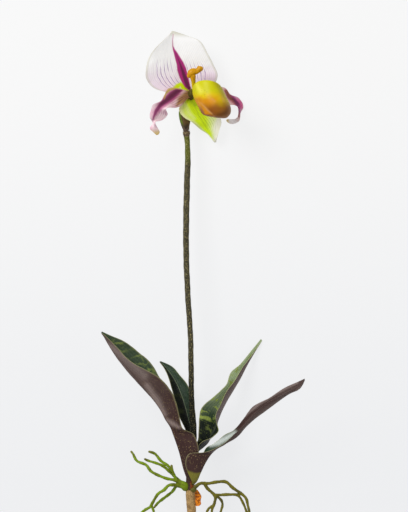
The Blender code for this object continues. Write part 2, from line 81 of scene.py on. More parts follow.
# Blades.
AHEAD = 0.01                # the same for a blade
OUT_OF_STEP = 1.3           # radians between the ripples of its two margins
FOLD_SLANT = 0.04           # how much further up a fold lies at one margin than at the rib
FULL_IN = 6                 # how fast the thickness grows inwards from the margins
FULL_ALONG = 30             # and from the foot and the tip
THIN_END = 0.15             # thickness at the foot and the tip as a share of the rib's

# Stage, in metres.
FLOOR_HALF = 2.5            # half the floor's side
FLOOR_TONES = (-260, 300)   # Y in millimetres where the nearer and the farther tone are whole
LAMPS = {"key": ((-1.3, 1.2, 1.9), 1.3), "fill": ((1.6, -0.3, 1.8), 1.8)}   # place and width
FILM = 36.0                 # width and height of the camera's film in millimetres
PHOTO_TALL = 0.512          # height of the photographed field
FOCUS_HEIGHT = 0.04         # height over the floor at which the field is that tall
CAMERA_X = 0.00101
CAMERA_Y = 0.03545

# The flower's face leans to the plant's right: rise of its plane per millimetre of X and of Y, where Y is
# counted from, and the plane's height there.
FACE_X = -0.47
FACE_Y = 0.09
FACE_MIDDLE_Y = 399.0
FACE_MIDDLE_Z = 24.0

# Stalks: X, Y, Z of the axis and radius.
LOWER_STEM = [(1.5, -62, 32.2, 4.5), (0.9, -42, 32.8, 4.6), (0.5, -22, 33.4, 4.5), (-0.2, -8, 33.8, 4.8),
              (-0.4, 0, 34, 4.9)]
CROWN = [(-0.9, 0.3, 34, 4.6), (-1, 8, 34, 4.2), (-0.4, 18, 34, 4.2), (0.8, 30, 34, 4), (1.8, 40, 34, 3.8),
         (2.2, 50, 34, 3.5)]
SCAPE = [(2.2, 50.3, 34, 3.4), (2, 68, 33.6, 3.2), (0.6, 88, 33, 2.75), (0.1, 120, 31.8, 2.65),
         (-0.6, 155, 30, 2.65), (-2.9, 190, 28, 2.75), (-4.7, 230, 25.6, 2.85), (-4.9, 265, 23.4, 2.95),
         (-4.2, 300, 20.8, 3), (-3.3, 328, 18.8, 2.85), (-3.5, 345, 17.7, 2.55), (-4.3, 353, 17.3, 2.8),
         (-4.6, 357, 17.1, 3.6), (-4.7, 360.4, 17, 3.2)]
OVARY = [(-4.7, 360.7, 17, 2.9), (-4.3, 370, 16.8, 2.8), (-3.4, 380, 17.4, 3), (-2.2, 388.5, 19.6, 3.3),
         (-0.6, 394.6, 24, 3.8), (1, 397, 30, 4), (3.4, 396.8, 36.2, 3.3)]

# Blades: from foot to tip, each station holds one margin, the midrib and the other margin.
# In the flower's own blades the third number is a height over the leaning plane of its face.
DORSAL_SEPAL = [
    ((-3, 396.5, 0), (-0.5, 396, 0.4), (2.6, 396.3, 0)),
    ((-18, 397, 1.5), (-1, 401, 0), (12, 399, 1)),
    ((-36, 401.5, 3), (-4, 407, -0.5), (22, 404, 2)),
    ((-44.5, 411, 4), (-9, 415, -1), (25.5, 411, 3)),
    ((-45.3, 420, 4), (-12.5, 423.5, -1.5), (26.2, 417.5, 3)),
    ((-42.5, 430.5, 3), (-15, 431.5, -2), (22.5, 426, 2)),
    ((-36.5, 441, 1), (-17.5, 440, -3), (16.5, 436.5, 0)),
    ((-27.5, 450, -2), (-18.6, 448, -4.5), (9, 449, -2)),
    ((-21.5, 456, -5), (-18.6, 455, -6), (-4, 454.6, -5)),
    ((-19.4, 459, -7.4), (-18.2, 459.2, -7.2), (-16.4, 458.8, -7)),
]
SYNSEPAL = [
    ((-3.5, 393.5, -1), (-1, 392.5, 0), (2, 393.5, -1)),
    ((-9, 388.5, 0.5), (-3, 387.5, 1.5), (6, 390, 0.5)),
    ((-12, 380, 0), (0, 380.5, 1.5), (14, 386, 0)),
    ((-7.5, 373, 1), (4.5, 374, 1.6), (22, 380, 0)),
    ((1, 367.8, 2), (9.5, 367.5, 1.4), (28, 375, 0)),
    ((9, 361, 0), (14, 361.8, 0), (30.3, 368, 0)),
    ((16, 356.5, 0), (18, 356.5, 0), (28.2, 360, 1)),
    ((20.8, 351.3, 0), (22, 351, 0), (26.4, 353.5, 1)),
    ((23, 348.2, 0), (24, 347.6, 0), (25.2, 348.2, 0)),
]
PETAL_LEFT = [
    ((-2, 400, 4), (0, 397.5, 4), (1, 394, 4)),
    ((-13, 402, 4), (-8, 397.5, 5), (-4.5, 390.5, 4)),
    ((-23, 401.5, 5.5), (-16.5, 396.8, 4.5), (-10, 384.5, 4)),
    ((-26.5, 395, 7), (-22.5, 391.5, 5.5), (-15.5, 382.3, 6.5)),
    ((-30, 389, 8), (-28, 386, 5.5), (-22.5, 382.5, 9)),
    ((-38, 385, 6), (-33, 381, 6), (-25, 380.5, 10)),
    ((-40, 379, 5), (-36, 376.5, 6), (-23.4, 375.5, 4)),
    ((-41.2, 372.5, 4), (-38, 371.8, 5), (-29, 370.3, 2)),
    ((-38.2, 367.5, -0.5), (-37.4, 367.3, 3), (-36.2, 367.5, 6)),
    ((-41, 361.5, -1), (-37, 361.5, 0.5), (-33, 361.5, 1)),
    ((-37.4, 357.6, -1.8), (-34.4, 357.2, -1.6), (-31.4, 358.4, -1)),
    ((-34.8, 355, -2.2), (-33.6, 355, -2.2), (-32.2, 355.8, -2)),
]
PETAL_RIGHT = [
    ((-1, 400, 4), (0, 397.5, 4), (1, 394, 4)),
    ((10, 402.5, 4), (9, 397, 5), (8, 390, 4)),
    ((22, 404.5, 4), (21, 397, 4), (19, 388, 3)),
    ((34, 402.5, 4.5), (31, 396, 3), (28, 387, 3)),
    ((39.5, 396, 5), (37, 391.5, 2.5), (34.5, 385.5, 3)),
    ((47, 393, 3), (43, 389.5, 3), (39.5, 385.5, 6)),
    ((51.5, 388, 2), (47.5, 386.3, 3), (44, 385.2, 7)),
    ((52.3, 383, 1.4), (50, 382.5, 3), (46.6, 383, 7)),
    ((49.1, 377.8, 0.6), (48.4, 377.6, 3), (47.6, 377.8, 6)),
    ((48.9, 373.4, 0.8), (48, 373.2, 2), (47, 373.6, 4.6)),
    ((48.4, 369.6, -0.4), (46.4, 370.2, 1), (44.8, 371.8, 3)),
    ((44.4, 367.1, -1), (43.4, 369.2, 0), (42.4, 371.2, 2)),
    ((40, 366.4, 0), (39.4, 369, 0), (38.8, 371.2, 1)),
    ((36.8, 368, 0), (36.4, 369.7, 0), (36.8, 371.3, 0)),
    ((35.5, 369.3, 0), (35.3, 369.8, 0), (35.5, 370.5, 0)),
]
BRACT = [
    ((-7.5, 359.5, 18.5), (-5, 359, 20), (-2.5, 360, 18.8)),
    ((-9.8, 365, 18), (-5.6, 364, 21.6), (-1.4, 365.5, 18.6)),
    ((-11.6, 371.5, 17.5), (-7, 370, 21.6), (-1, 370, 18.8)),
    ((-12.2, 377.5, 17), (-9, 377, 20.4), (-4.6, 375.5, 20.6)),
    ((-11.4, 380.6, 17), (-10, 381, 18), (-8.6, 380.4, 18.6)),
]
LEAF_FRONT_LEFT = [
    ((2, 10, 37.5), (-3, 9, 35.5), (-3, 10, 32)),
    ((6, 24, 40.6), (-7.5, 21, 37.5), (-6.5, 24, 30.5)),
    ((8, 40, 41.2), (-12, 38, 39.5), (-8, 42, 31.5)),
    ((3, 54, 43), (-17, 52, 42.5), (-9.5, 58, 34)),
    ((-7, 63, 47), (-23, 66, 46), (-11.5, 73, 38)),
    ((-13.5, 80, 53), (-31, 80, 50.5), (-16, 88, 42)),
    ((-19.5, 100, 61), (-41, 93, 55.5), (-24, 102, 47)),
    ((-28.5, 110.8, 68), (-52, 105, 60.5), (-33, 114.5, 53)),
    ((-47, 121, 74), (-63, 117.5, 66), (-43, 130.5, 59.5)),
    ((-62, 131, 79), (-73, 130.5, 71), (-55, 140.5, 65.5)),
    ((-75, 144, 81), (-81, 143, 76), (-68, 149.5, 73)),
    ((-84.5, 153.8, 81.5), (-86, 152.2, 79.5), (-80.5, 155, 79)),
    ((-88.6, 157, 81), (-89.4, 157.6, 80.8), (-88.8, 158.8, 80.8)),
]
LEAF_BACK_LEFT = [
    ((-0.5, 45, 32), (1.5, 44, 31.5), (3.5, 45, 32)),
    ((-6, 61, 27), (0, 60, 26), (4, 61.5, 27.6)),
    ((-11.5, 73, 25.5), (-3, 73, 22), (3.5, 75, 25)),
    ((-15.8, 88, 23.5), (-7.5, 89, 17.5), (0.5, 91, 22)),
    ((-19.5, 102, 20), (-13, 103, 13), (-3, 104, 17.5)),
    ((-23, 113, 13.5), (-18.5, 113, 8), (-11, 114, 11.5)),
    ((-27.2, 122, 6), (-25, 121.5, 2.8), (-18.5, 123, 5)),
    ((-31.6, 127.6, -1.4), (-30.8, 128.4, -1.8), (-29.6, 128.2, -1.4)),
]
LEAF_BACK_RIGHT = [
    ((1, 37, 34.5), (2.5, 35, 33), (3, 36, 35.5)),
    ((6.6, 49, 34), (16, 45.5, 29.5), (10, 47.4, 38)),
    ((7.4, 57, 33.5), (20, 53, 28), (21, 52.6, 38.5)),
    ((8, 65, 32.5), (24, 61, 26.5), (27.4, 59, 38)),
    ((8.2, 72, 31), (26.5, 67, 25), (25.2, 67.5, 37)),
    ((9.4, 79, 29.5), (29, 73.5, 23.5), (25, 75.5, 35.5)),
    ((14, 86, 27.5), (32, 80.5, 21.5), (28.4, 83.6, 33)),
    ((24, 94, 23.5), (37, 90, 18), (33.5, 94, 29)),
    ((35, 104, 18.5), (43.5, 101, 14), (39.5, 104, 24)),
    ((39.5, 117, 13), (50, 112, 9.8), (46, 113, 18)),
    ((50, 126, 8.5), (56, 124, 6), (52.5, 123.5, 12)),
    ((60, 138.5, 2.5), (62.8, 136, 1.3), (61.5, 135.5, 4.5)),
    ((70, 150.6, -1.6), (71, 149.8, -1.8), (71.2, 148.8, -1.3)),
]
LEAF_FRONT_RIGHT = [
    ((0, 5.4, 37.4), (1.6, 4.6, 36.5), (2.4, 6, 34.8)),
    ((0.8, 8.4, 41), (5.6, 8.6, 38.4), (5.6, 10.6, 33)),
    ((-3, 17.5, 43), (9.5, 17, 39.5), (8, 20, 32.5)),
    ((-5.8, 27, 44), (14, 26, 41), (10.5, 30, 34)),
    ((-2, 36.3, 46), (20, 35.3, 43.5), (14.5, 40.5, 37.5)),
    ((13, 37.6, 49.5), (28, 43.2, 46), (22, 46.5, 41)),
    ((27, 43.8, 52.5), (37.5, 50.5, 49.5), (30.5, 53, 45)),
    ((40, 52.5, 56.5), (47.5, 57.5, 53), (43.5, 60.5, 49.5)),
    ((51, 63.5, 61), (57, 66.5, 57), (51.5, 71, 54.5)),
    ((63, 77, 66), (68, 75, 61.5), (62, 83.5, 60)),
    ((78, 88.5, 70), (83, 86.3, 66), (77, 92, 65.5)),
    ((92, 96.4, 73), (98, 96.5, 70), (92, 101.8, 70)),
    ((104, 103.6, 75), (108, 101.2, 73.6), (104, 107.4, 73.6)),
    ((112.2, 109, 75), (113.4, 110, 75), (113.4, 111.8, 75)),
]
PAPER_SCRAP = [
    ((2.5, 0.5, 35), (4.5, 0.3, 36), (6.5, 0.2, 35)),
    ((2.5, -3.5, 35), (5.5, -3.6, 36.5), (8.6, -3, 34)),
    ((2.5, -7.5, 35), (6.5, -7.4, 34.5), (10.2, -6.6, 36.5)),
    ((2.5, -11, 35), (6.5, -11, 36.5), (9.6, -11, 34)),
    ((3, -14, 35), (6.4, -14.4, 35), (10, -14, 36)),
    ((4, -15.8, 35), (6.2, -16.2, 35.5), (8, -16, 35.5)),
]

# The pouch: rings from the rolled lip over the mouth's rim down to the toe.
# Centre X, Y, Z, half width, half depth, and how much higher the ring's peak is than its middle.
POUCH = [(17, 400.6, 50, 11.6, 14.4, 7), (16.6, 403, 50, 12.6, 15.6, 7.6), (16.6, 401.6, 50, 14.2, 17, 7),
         (17.6, 397.4, 50, 15.6, 18.8, 4), (19, 393, 50.5, 16.2, 19.8, 2.2),
         (21.2, 388, 51.2, 16.2, 20.4, 1), (23.4, 382.6, 52, 15.6, 20, 0), (24.6, 377.8, 53, 14.4, 18, 0),
         (25.2, 374.2, 54, 12, 14, 0), (29.2, 372.2, 54.6, 5.8, 7.4, 0), (31, 371.5, 54.8, 0, 0, 0)]
POUCH_SIDE = (0.9, 0, -0.43)        # direction of a ring's half width
POUCH_FRONT = (0.43, -0.09, 0.9)    # direction of a ring's half depth
RIM_PEAK = math.radians(122)        # where round the rim its highest point is

# Roots: axis and radius, the first point of each one sunk in the knot or in the root that it grows from. The
# right knot is a ball: its middle and half sizes.
ROOTS_LEFT = [
    [(-8, 7, 36, 1.6), (-17, 10, 37.5, 1.3), (-26, 12, 38, 1.2), (-39, 18, 37, 1.2), (-45, 25, 35, 1.2),
     (-54, 29, 33.5, 1.1), (-58, 36, 32.5, 1), (-60.5, 39, 32, 0.9)],
    [(-9, 7, 35, 1.6), (-16, 13, 33.5, 1.3), (-22, 23, 31.5, 1.2), (-30, 29, 30.5, 1.2), (-36, 36, 30, 1.1),
     (-43, 38.5, 30, 1)],
    [(-16, 13, 33.5, 1.1), (-21, 18, 36, 1.2), (-28, 24, 40, 1.2), (-35, 27, 42, 1.1), (-43, 29.5, 42.5, 1),
     (-47, 31.5, 42.5, 0.9)],
    [(-14.5, 10, 36.5, 1.1), (-18, 18, 39, 1), (-19.7, 25.5, 40.5, 0.9)],
    [(-8, 4, 36, 1.6), (-21, 5, 37, 1.3), (-27, 0, 38, 1.3), (-33, -4, 38, 1.2), (-38, -12, 37, 1.2),
     (-41, -17, 36, 1.2), (-46, -20, 35, 1.1), (-52, -25, 34, 1), (-54, -31, 33.5, 0.9)],
    [(-39.5, -15, 36.5, 1), (-37.8, -20, 35, 1), (-36, -26, 33, 0.9)],
    [(-7, 2, 34, 1.6), (-14, 4, 32, 1.3), (-19, -2, 30.5, 1.2), (-28, -9, 29, 1.2), (-33, -13, 28.5, 1.1),
     (-37.5, -18.5, 28, 0.9)],
]
KNOT_RIGHT = ((2.6, 0.2, 39.9), (3.2, 2.3, 2.2))
ROOTS_RIGHT = [
    [(2.8, 1.6, 40.6, 1.5), (9, 6.5, 39.8, 1.4), (17, 6.5, 38, 1.3), (26, 8, 37, 1.3), (35, 8, 36, 1.3),
     (42, 2, 35, 1.3), (54, -7, 34, 1.2), (57, -16, 33.5, 1.1), (59, -26, 33, 1), (60, -33, 32.5, 0.9)],
    [(13, 6.5, 38.7, 1.3), (17, 1, 36, 1.3), (24, -6, 34.5, 1.3), (23.5, -13, 33.5, 1.2), (21, -20, 33, 1.1),
     (20.5, -30, 32.5, 0.9)],
    [(24, -5, 34.6, 1.1), (29, -5, 35, 1.2), (38, -4.6, 35.5, 1.2), (47, -5.6, 34, 1.1), (52.5, -14, 32, 1),
     (56, -24, 30.5, 1), (57, -33, 30, 0.9)],
    [(25, -5.5, 34.6, 1.1), (30, -10, 33, 1.1), (31.5, -15, 32, 1), (30, -21, 31, 1), (28.5, -29, 30.5, 0.9)],
    [(21.5, -15.5, 33.4, 1), (17.5, -19, 33.5, 1), (15, -24, 33.5, 0.9)],
]

# Brush strokes of the flower's colours, and in LIME_SHADE of a painted shade over the lime base: X, Y and
# half width in the plant's frame, as seen from above.
WEDGE = [(-18, 455.6, 0.2), (-18.6, 449.6, 0.25), (-18.4, 444, 0.45), (-17.4, 440.6, 1), (-15.2, 436, 2),
         (-12.9, 430.5, 2.9), (-11, 426.4, 3.6), (-9.5, 420.8, 4.6), (-7.6, 414.4, 4.4), (-5.8, 409.3, 3.8),
         (-4, 405, 2.9), (-2, 402, 1.8)]
WEDGE_HEART = [(-15.6, 437, 0.1), (-12.8, 430.5, 0.5), (-10.2, 424, 1), (-7.8, 417, 1.6),
               (-5.6, 410.5, 1.9), (-3.8, 405, 1.8), (-2, 402, 1.4)]
LIME_BASE = [(-18, 401.4, 1), (-13.4, 404, 2.6), (-10.6, 406.4, 1.6), (-8, 403, 2.6), (-2, 400, 3)]
LIME_SHADE = [(-8.6, 406.4, 0.3), (-5.6, 402.4, 0.7), (-2, 399, 1.4)]
RIM_LEFT = [(-27, 391.5, 0.6), (-25.6, 396.5, 1), (-21.4, 401, 1.6), (-15, 402.6, 1.4), (-8, 402.2, 1.6),
            (-1.5, 400.2, 1.6)]
BAND_LEFT = [(-10, 399.7, 1.2), (-14.5, 398.4, 3.1), (-19.3, 394.6, 3.4), (-24.9, 389.6, 2.7),
             (-30.4, 384.9, 2.1), (-34.9, 379.1, 1.5), (-37.6, 372.9, 0.7), (-38, 370.5, 0.4)]
GLOW_LEFT = [(-13.6, 395, 0.6), (-18.4, 391.2, 1.2), (-24, 386.2, 1.2), (-29.6, 381.4, 1.1),
             (-34.4, 375.4, 0.8)]
GLOW_RIGHT = [(40.6, 389.6, 0.5), (43.2, 387.2, 0.7), (49, 386.6, 0.9)]
OLIVE_LEFT = [(-14, 385, 1.4), (-9.5, 390, 4.4), (-2, 395.4, 5.6)]
LIME_RIM = [(-12, 402.8, 1), (-4, 401.2, 1.6)]
BAND_RIGHT = [(35, 399.4, 1.4), (38.1, 394.6, 2.1), (40.5, 392.5, 2.3), (43.3, 389.9, 2.2),
              (45.9, 387, 2.3), (47.3, 384, 2), (47.9, 380.7, 1.2), (48.3, 377.2, 0.8), (47.8, 373.8, 0.4)]
OLIVE_RIGHT = [(0, 397, 6), (12, 396, 6)]
CRIMSON_RIGHT = [(46.5, 391.6, 0.8), (50.2, 387.6, 1.6), (50.6, 382.8, 1.6)]
# X and Y of the line where the pouch's rounded front meets the flap at its lower left, and of the groove
# behind its rolled left lobe.
CREASE = [(5.4, 397), (6.8, 392), (9.4, 387.4), (13, 383.9), (16.2, 380.3), (20.1, 376.7), (24.4, 373.2)]
CREASE_FALL = 2.6       # how far the flap lies behind the front
CREASE_ROUND = 5.5      # how far from the line the front starts to round off
GROOVE = [(3.4, 397), (3.9, 394), (4.8, 391), (5.6, 388), (6.6, 384.5)]
GROOVE_DEEP = 0.9
GROOVE_HALF = 0.6       # the groove's half width
FLAP_FOOT = 374.7       # the flap's straight lower edge
FRECKLES_X = 13.5       # middle of the red-brown freckles round the mouth
FRECKLES_Y = 397.0
FOOT_DROP = 3.8         # how much lower the pouch's edge lies at the toe than at the flap
# Soft touches of colour on the pouch, among them painted highlights and a painted shade in the groove:
# colour, cover, softness, then the stroke.
POUCH_TOUCHES = [
    ("moss", 0.75, 7, [(24, 407, 1), (30, 401, 2.4), (34.5, 392, 2.4)]),
    # painted highlight at the pouch's upper left, in pale lemon
    ("lemon_highlight", 0.75, 5.5, [(5.6, 404.6, 1.6), (9.6, 398.6, 2.4)]),
    ("lemon", 0.8, 4, [(14, 403.5, 2), (17, 398, 1.6)]),
    # painted reflections: two soft pale patches, in tan
    ("tan", 0.8, 3.6, [(21.6, 390.2, 0.5), (23.8, 388.4, 0.6)]),
    ("tan", 0.6, 4, [(31.2, 392, 0.4), (33, 388.6, 0.5)]),
    ("umber", 0.75, 7, [(27, 374.5, 1.4), (34.5, 377, 2.6), (38.5, 382, 0.8)]),
    ("moss", 0.5, 2.6, [(34.5, 398, 0.4), (37.6, 391, 0.5), (39.8, 384, 0.4)]),
    # painted highlight along the rounded edge of the rolled left lobe, in pale lemon
    ("lemon_highlight", 0.6, 1.6, [(5.2, 393, 0.4), (8.2, 386, 0.5), (9.8, 380, 0.3)]),
    # painted highlight along the crease where the rounded front meets the flap, in tan
    ("tan", 0.85, 2, [(9.6, 387, 0.4), (13.4, 383.2, 0.7), (16.8, 379.4, 0.7), (20.6, 376, 0.6)]),
    # painted shade in the groove behind the rolled left lobe, in umber
    ("umber", 0.7, 1, [(4.1, 395, 0.1), (4.9, 391, 0.25), (5.7, 388, 0.2)]),
]
# The same for the synsepal; the blush strokes along its left third are a painted sheen.
SYNSEPAL_TOUCHES = [
    ("lime_vein", 0.5, 5, [(-2, 390, 1.5), (4, 386, 2)]),
    # painted sheen along the left third, in blush
    ("blush_and_sheen", 0.55, 5, [(-6, 386, 1), (-2, 377, 1.6), (3.5, 372, 0.6)]),
    ("lime_vein", 0.6, 1.3, [(2.6, 386, 0.2), (8, 374, 0.3), (16.5, 361, 0.1)]),
    ("lime_vein", 0.5, 1.3, [(5.8, 385, 0.2), (12, 373, 0.3), (18.5, 362.5, 0.1)]),
    ("lime_vein", 0.5, 1.6, [(1, 368.6, 0.3), (9, 362, 0.5), (16, 357, 0.3)]),
    ("cream", 0.5, 9, [(21, 372, 3), (22, 364, 3)]),
    ("cream", 0.95, 6, [(29, 371, 4.6), (27, 360, 6), (24.6, 350, 2.6)]),
]

# The painted highlight on the pale bent part of the right front leaf, and the touches on the leaves'
# undersides: painted sheens on their bulges, painted shade in their folds, dark lines along their margins.
GLINT = [(20, 45, 1.6), (27, 48, 3.4), (36, 52.5, 2.4), (44, 58, 1.4)]
LEAF_TOUCHES = {
    "leaf_front_left": [
        ("sheen", 0.5, 9, [(-80, 145, 1), (-62, 130, 2.6), (-46, 115, 3)]),
        ("sheen", 0.6, 7, [(-44, 105, 1.8), (-34, 90, 3), (-26, 76, 1.6)]),
        ("sheen", 0.75, 6, [(-24, 70.5, 1), (-18, 66.4, 1.9), (-12, 63, 0.8)]),
        ("shade", 0.7, 3.4, [(-37, 113.4, 0.6), (-28, 109.5, 1.6), (-22, 103, 1)]),
        ("shade", 0.55, 4, [(-20, 94, 1), (-15, 82, 1.2), (-11, 68, 1.2)]),
        ("shade", 0.8, 3, [(-12, 58, 0.6), (-4, 52, 1)]),
        ("shade", 0.6, 2, [(-84, 146, 0.3), (-60, 119, 0.5), (-36, 88, 0.5), (-20, 62, 0.5)]),
    ],
    "leaf_back_left": [("sheen", 0.35, 5, [(-12.5, 113, 0.8), (-7, 104, 1.2)])],
    "leaf_front_right": [
        ("sheen", 0.75, 3.6, [(54, 74.5, 0.8), (68, 87, 1.4), (85, 97.4, 1.2), (106, 107.6, 0.6)]),
        ("shade", 0.85, 4.4, [(-1, 21, 1.8), (2, 19.4, 1.6)]),
        ("shade", 0.6, 3, [(46, 60.5, 0.8), (60, 76.5, 1), (78, 88, 1), (104, 100, 0.6)]),
    ],
}

# The finished column's stalk and its lobes, and the left roots' clasping foot: X, Y, Z and radius.
COLUMN_FOOT = [(3.4, 399, 36.5, 2.1), (2.9, 403.5, 40, 2.1), (2.4, 409, 43.6, 2.3), (1.9, 413, 45.2, 2.9),
               (2.2, 416.6, 45.8, 3)]
COLUMN_ARMS = [(-3, 412, 45, 1.3), (-1.6, 414.4, 45.6, 2.6), (0.4, 417.2, 45.9, 3.7), (3, 418.4, 45.8, 3.5),
               (5.6, 418.4, 45.6, 2.7), (7.8, 420.2, 45.2, 2.9), (9.8, 422.4, 44.8, 3.7),
               (10.4, 423.6, 44.6, 3.4)]
CLASP_LEFT = [(-16, 9, 37, 1.3), (-12, 8, 36.6, 2.2), (-8.6, 6, 36.2, 3.4), (-6.2, 3.6, 35.6, 4.2),
              (-5, 0.4, 35.2, 3.2), (-4.6, -1.4, 35, 1.4)]


def linear(red, green, blue):
    """A colour picked on a screen, 0 to 255, as scene linear values."""
    parts = (part / 255 for part in (red, green, blue))
    return tuple(part / 12.92 if part <= 0.04045 else ((part + 0.055) / 1.055) ** 2.4 for part in parts)


def tint(name, about, red, green, blue):
    """A colour property, its default picked on a screen."""
    return FloatVectorProperty(name=name, description=about, subtype="COLOR", size=3, min=0.0, max=1.0,
                               default=linear(red, green, blue))


def length(name, about, millimetres, top=20.0):
    """A length property with its default and its highest value in millimetres."""
    return FloatProperty(name=name, description=about, unit="LENGTH", min=0.0, max=top * MM,
                         default=millimetres * MM, precision=5)


def share_of(name, about, value):
    """A property from 0 to 1."""
    return FloatProperty(name=name, description=about, subtype="FACTOR", min=0.0, max=1.0, default=value)


class FlowerLook(bpy.types.PropertyGroup):
    """Sizes and colours of the flower."""
    petal_thickness: length("Petal thickness", "Thickness of a petal or sepal at its midrib", 0.75)
    petal_rim: share_of("Petal rim", "Thickness of a petal's margin as a share of its midrib's", 0.35)
    white: tint("Sepal white", "Upper part of the dorsal sepal", 253, 252, 251)
    lilac: tint("Sepal lilac", "Lower part of the dorsal sepal", 250, 232, 247)
    deep_lilac: tint("Deep lilac", "Lower right part of the dorsal sepal", 232, 206, 226)
    # on the dorsal sepal's rim this colour is partly painted shade along the edge
    sepal_tip_and_edge_shade: tint("Sepal tip", "Greyish tip and rim of the dorsal sepal", 214, 211, 192)
    magenta: tint("Magenta", "Edges of the dorsal sepal's wedge", 176, 40, 122)
    crimson: tint("Crimson", "Right edge of the dorsal sepal's wedge", 212, 60, 132)
    maroon: tint("Maroon", "Heart of the wedge and of the petals' bands", 96, 30, 66)
    vein: tint("Vein purple", "Fine veins of the dorsal sepal", 150, 110, 176)
    lime: tint("Lime", "Synsepal and the dorsal sepal's base", 216, 244, 6)
    lime_vein: tint("Lime vein", "Veins of the synsepal", 122, 152, 20)
    cream: tint("Cream", "Lower right corner of the synsepal", 248, 246, 226)
    # blush is the synsepal's own margin colour and also a painted sheen on its left third
    blush_and_sheen: tint("Blush", "Left margin of the synsepal", 240, 240, 186)
    pink: tint("Petal pink", "Waved lobes of the petals", 255, 224, 231)
    mauve: tint("Petal mauve", "Halo of the petals' bands", 198, 84, 148)
    purple: tint("Petal purple", "Bands of the petals", 138, 56, 104)
    olive: tint("Olive", "Foot of the petals", 166, 120, 6)
    ochre: tint("Ochre", "Tips of the petals", 214, 186, 90)
    lemon: tint("Lemon", "Top of the pouch", 196, 192, 0)
    # pale lemon is a painted highlight colour
    lemon_highlight: tint("Pale lemon", "Pale parts at the pouch's upper left", 230, 222, 84)
    moss: tint("Moss", "Right side of the pouch", 160, 144, 8)
    gold: tint("Gold", "Middle of the pouch", 214, 184, 4)
    amber: tint("Amber", "Lower part of the pouch", 204, 134, 0)
    # tan is a painted highlight colour
    tan: tint("Tan", "Pale line along the pouch's flap and its soft spots", 208, 148, 74)
    brown: tint("Brown", "Toe of the pouch", 128, 68, 10)
    # umber is also painted as shade in the groove behind the rolled lobe
    umber: tint("Umber", "Darkest parts of the pouch", 92, 52, 22)
    column: tint("Column gold", "Column and its lobes", 204, 146, 0)
    column_shade: tint("Column shade", "Hollows of the column", 130, 84, 8)


class LeafLook(bpy.types.PropertyGroup):
    """Sizes and colours of the four leaves."""
    thickness: length("Leaf thickness", "Thickness of a leaf at its midrib", 0.9)
    rim: share_of("Leaf rim", "Thickness of a leaf's margin as a share of its midrib's", 0.4)
    green: tint("Leaf green", "Upper side", 36, 58, 38)
    # deep green is also painted as shade: on the half of a leaf turned from the light and on feet in the
    # crown's dark
    deep_green: tint("Deep green", "Upper side in the folds", 12, 17, 11)
    bar: tint("Bar green", "Cross bars and patches of the upper side", 150, 166, 76)
    pale: tint("Pale green", "Worn and sunlit parts of the upper side", 180, 196, 154)
    purple: tint("Leaf purple", "Underside near the foot", 62, 38, 34)
    mauve: tint("Leaf mauve", "Underside in the middle", 112, 94, 88)
    speck: tint("Speck", "Fine pale specks of the underside", 172, 148, 96)
    keel: tint("Keel", "Dark line of the underside's midrib", 60, 34, 30)
    sheen: tint("Leaf sheen", "Pale sheens of the underside's bulges", 164, 146, 140)
    shade: tint("Leaf shade", "Dark folds and margins of the underside", 60, 32, 28)
    glint: tint("Glint", "Pale bent part of the right front leaf's upper side", 208, 216, 210)
    margin: tint("Margin", "Pale line along a leaf's edge", 176, 172, 120)
    sheath: tint("Sheath", "Yellow-green clasping foot of the front leaf", 120, 114, 36)


class StalkLook(bpy.types.PropertyGroup):
    """Sizes and colours of the stalks, the bract and the scrap of paper."""
    hair_length: length("Hair length", "Length of the flower stalk's short hairs", 0.38, 3.0)
    hair_count: FloatProperty(name="Hairs per mm", description="Hairs on each millimetre of the flower stalk",
                              min=0.0, max=60.0, default=14.0)
    top: tint("Stalk top", "Olive of the flower stalk's upper end", 86, 92, 30)
    middle: tint("Stalk middle", "Grey-brown of the flower stalk", 60, 56, 42)
    low: tint("Stalk foot", "Dark foot of the flower stalk", 16, 18, 12)
    knob: tint("Stalk knob", "Grey-brown joint under the bract", 88, 71, 56)
    fleck: tint("Stalk fleck", "Pale flecks of the flower stalk", 178, 166, 110)
    bract_green: tint("Bract green", "Left edge of the bract", 98, 126, 8)
    bract_brown: tint("Bract brown", "Middle of the bract", 96, 72, 34)
    # the ovary's top is partly painted shade under the petals' feet
    ovary_top: tint("Ovary top", "Dark top of the ovary between the petals", 84, 72, 14)
    ovary: tint("Ovary green", "Ovary behind the flower", 104, 116, 52)
    crown: tint("Crown purple", "Dark crown between the leaves", 62, 38, 30)
    rust: tint("Crown rust", "Orange-brown patch of the crown", 148, 72, 20)
    tape: tint("Tape", "Paper tape of the lower stem", 182, 148, 96)
    tape_shade: tint("Tape shade", "Creases of the paper tape", 122, 88, 48)
    scrap: tint("Scrap orange", "Crumpled orange scrap", 252, 148, 26)
    scrap_shade: tint("Scrap shade", "Folds of the orange scrap", 140, 62, 14)


class RootLook(bpy.types.PropertyGroup):
    """Sizes and colours of the two bunches of roots."""
    grain: length("Root grain", "Size of the cells that fuse a bunch into one body", 0.36, 3.0)
    bright: tint("Root green", "Left roots", 122, 148, 26)
    bright_shade: tint("Root shade", "Undersides and joints of the left roots", 84, 82, 12)
    tip: tint("Root tip", "Brown tips of the left roots", 120, 96, 58)
    dull: tint("Root olive", "Right roots", 114, 108, 32)
    dull_shade: tint("Root olive shade", "Undersides and joints of the right roots", 72, 70, 34)


class StageLook(bpy.types.PropertyGroup):
    """Floor, light and camera."""
    floor: tint("Floor", "Pale floor by the flower", 248, 248, 248)
    floor_near: tint("Floor, near", "Pale floor by the roots", 239, 240, 242)
    camera_height: FloatProperty(name="Camera height", description="Height of the camera over the floor",
                                 unit="LENGTH", min=1.0, max=30.0, default=12.0)
    key_power: FloatProperty(name="Key light", description="Power of the large light at the upper left",
                             unit="POWER", min=0.0, max=1000.0, default=50.0)
    fill_power: FloatProperty(name="Fill light", description="Power of the light at the right",
                              unit="POWER", min=0.0, max=1000.0, default=6.0)
    sky: FloatProperty(name="Sky", description="Strength of the pale light from all round", min=0.0, max=5.0,
                       default=0.46)


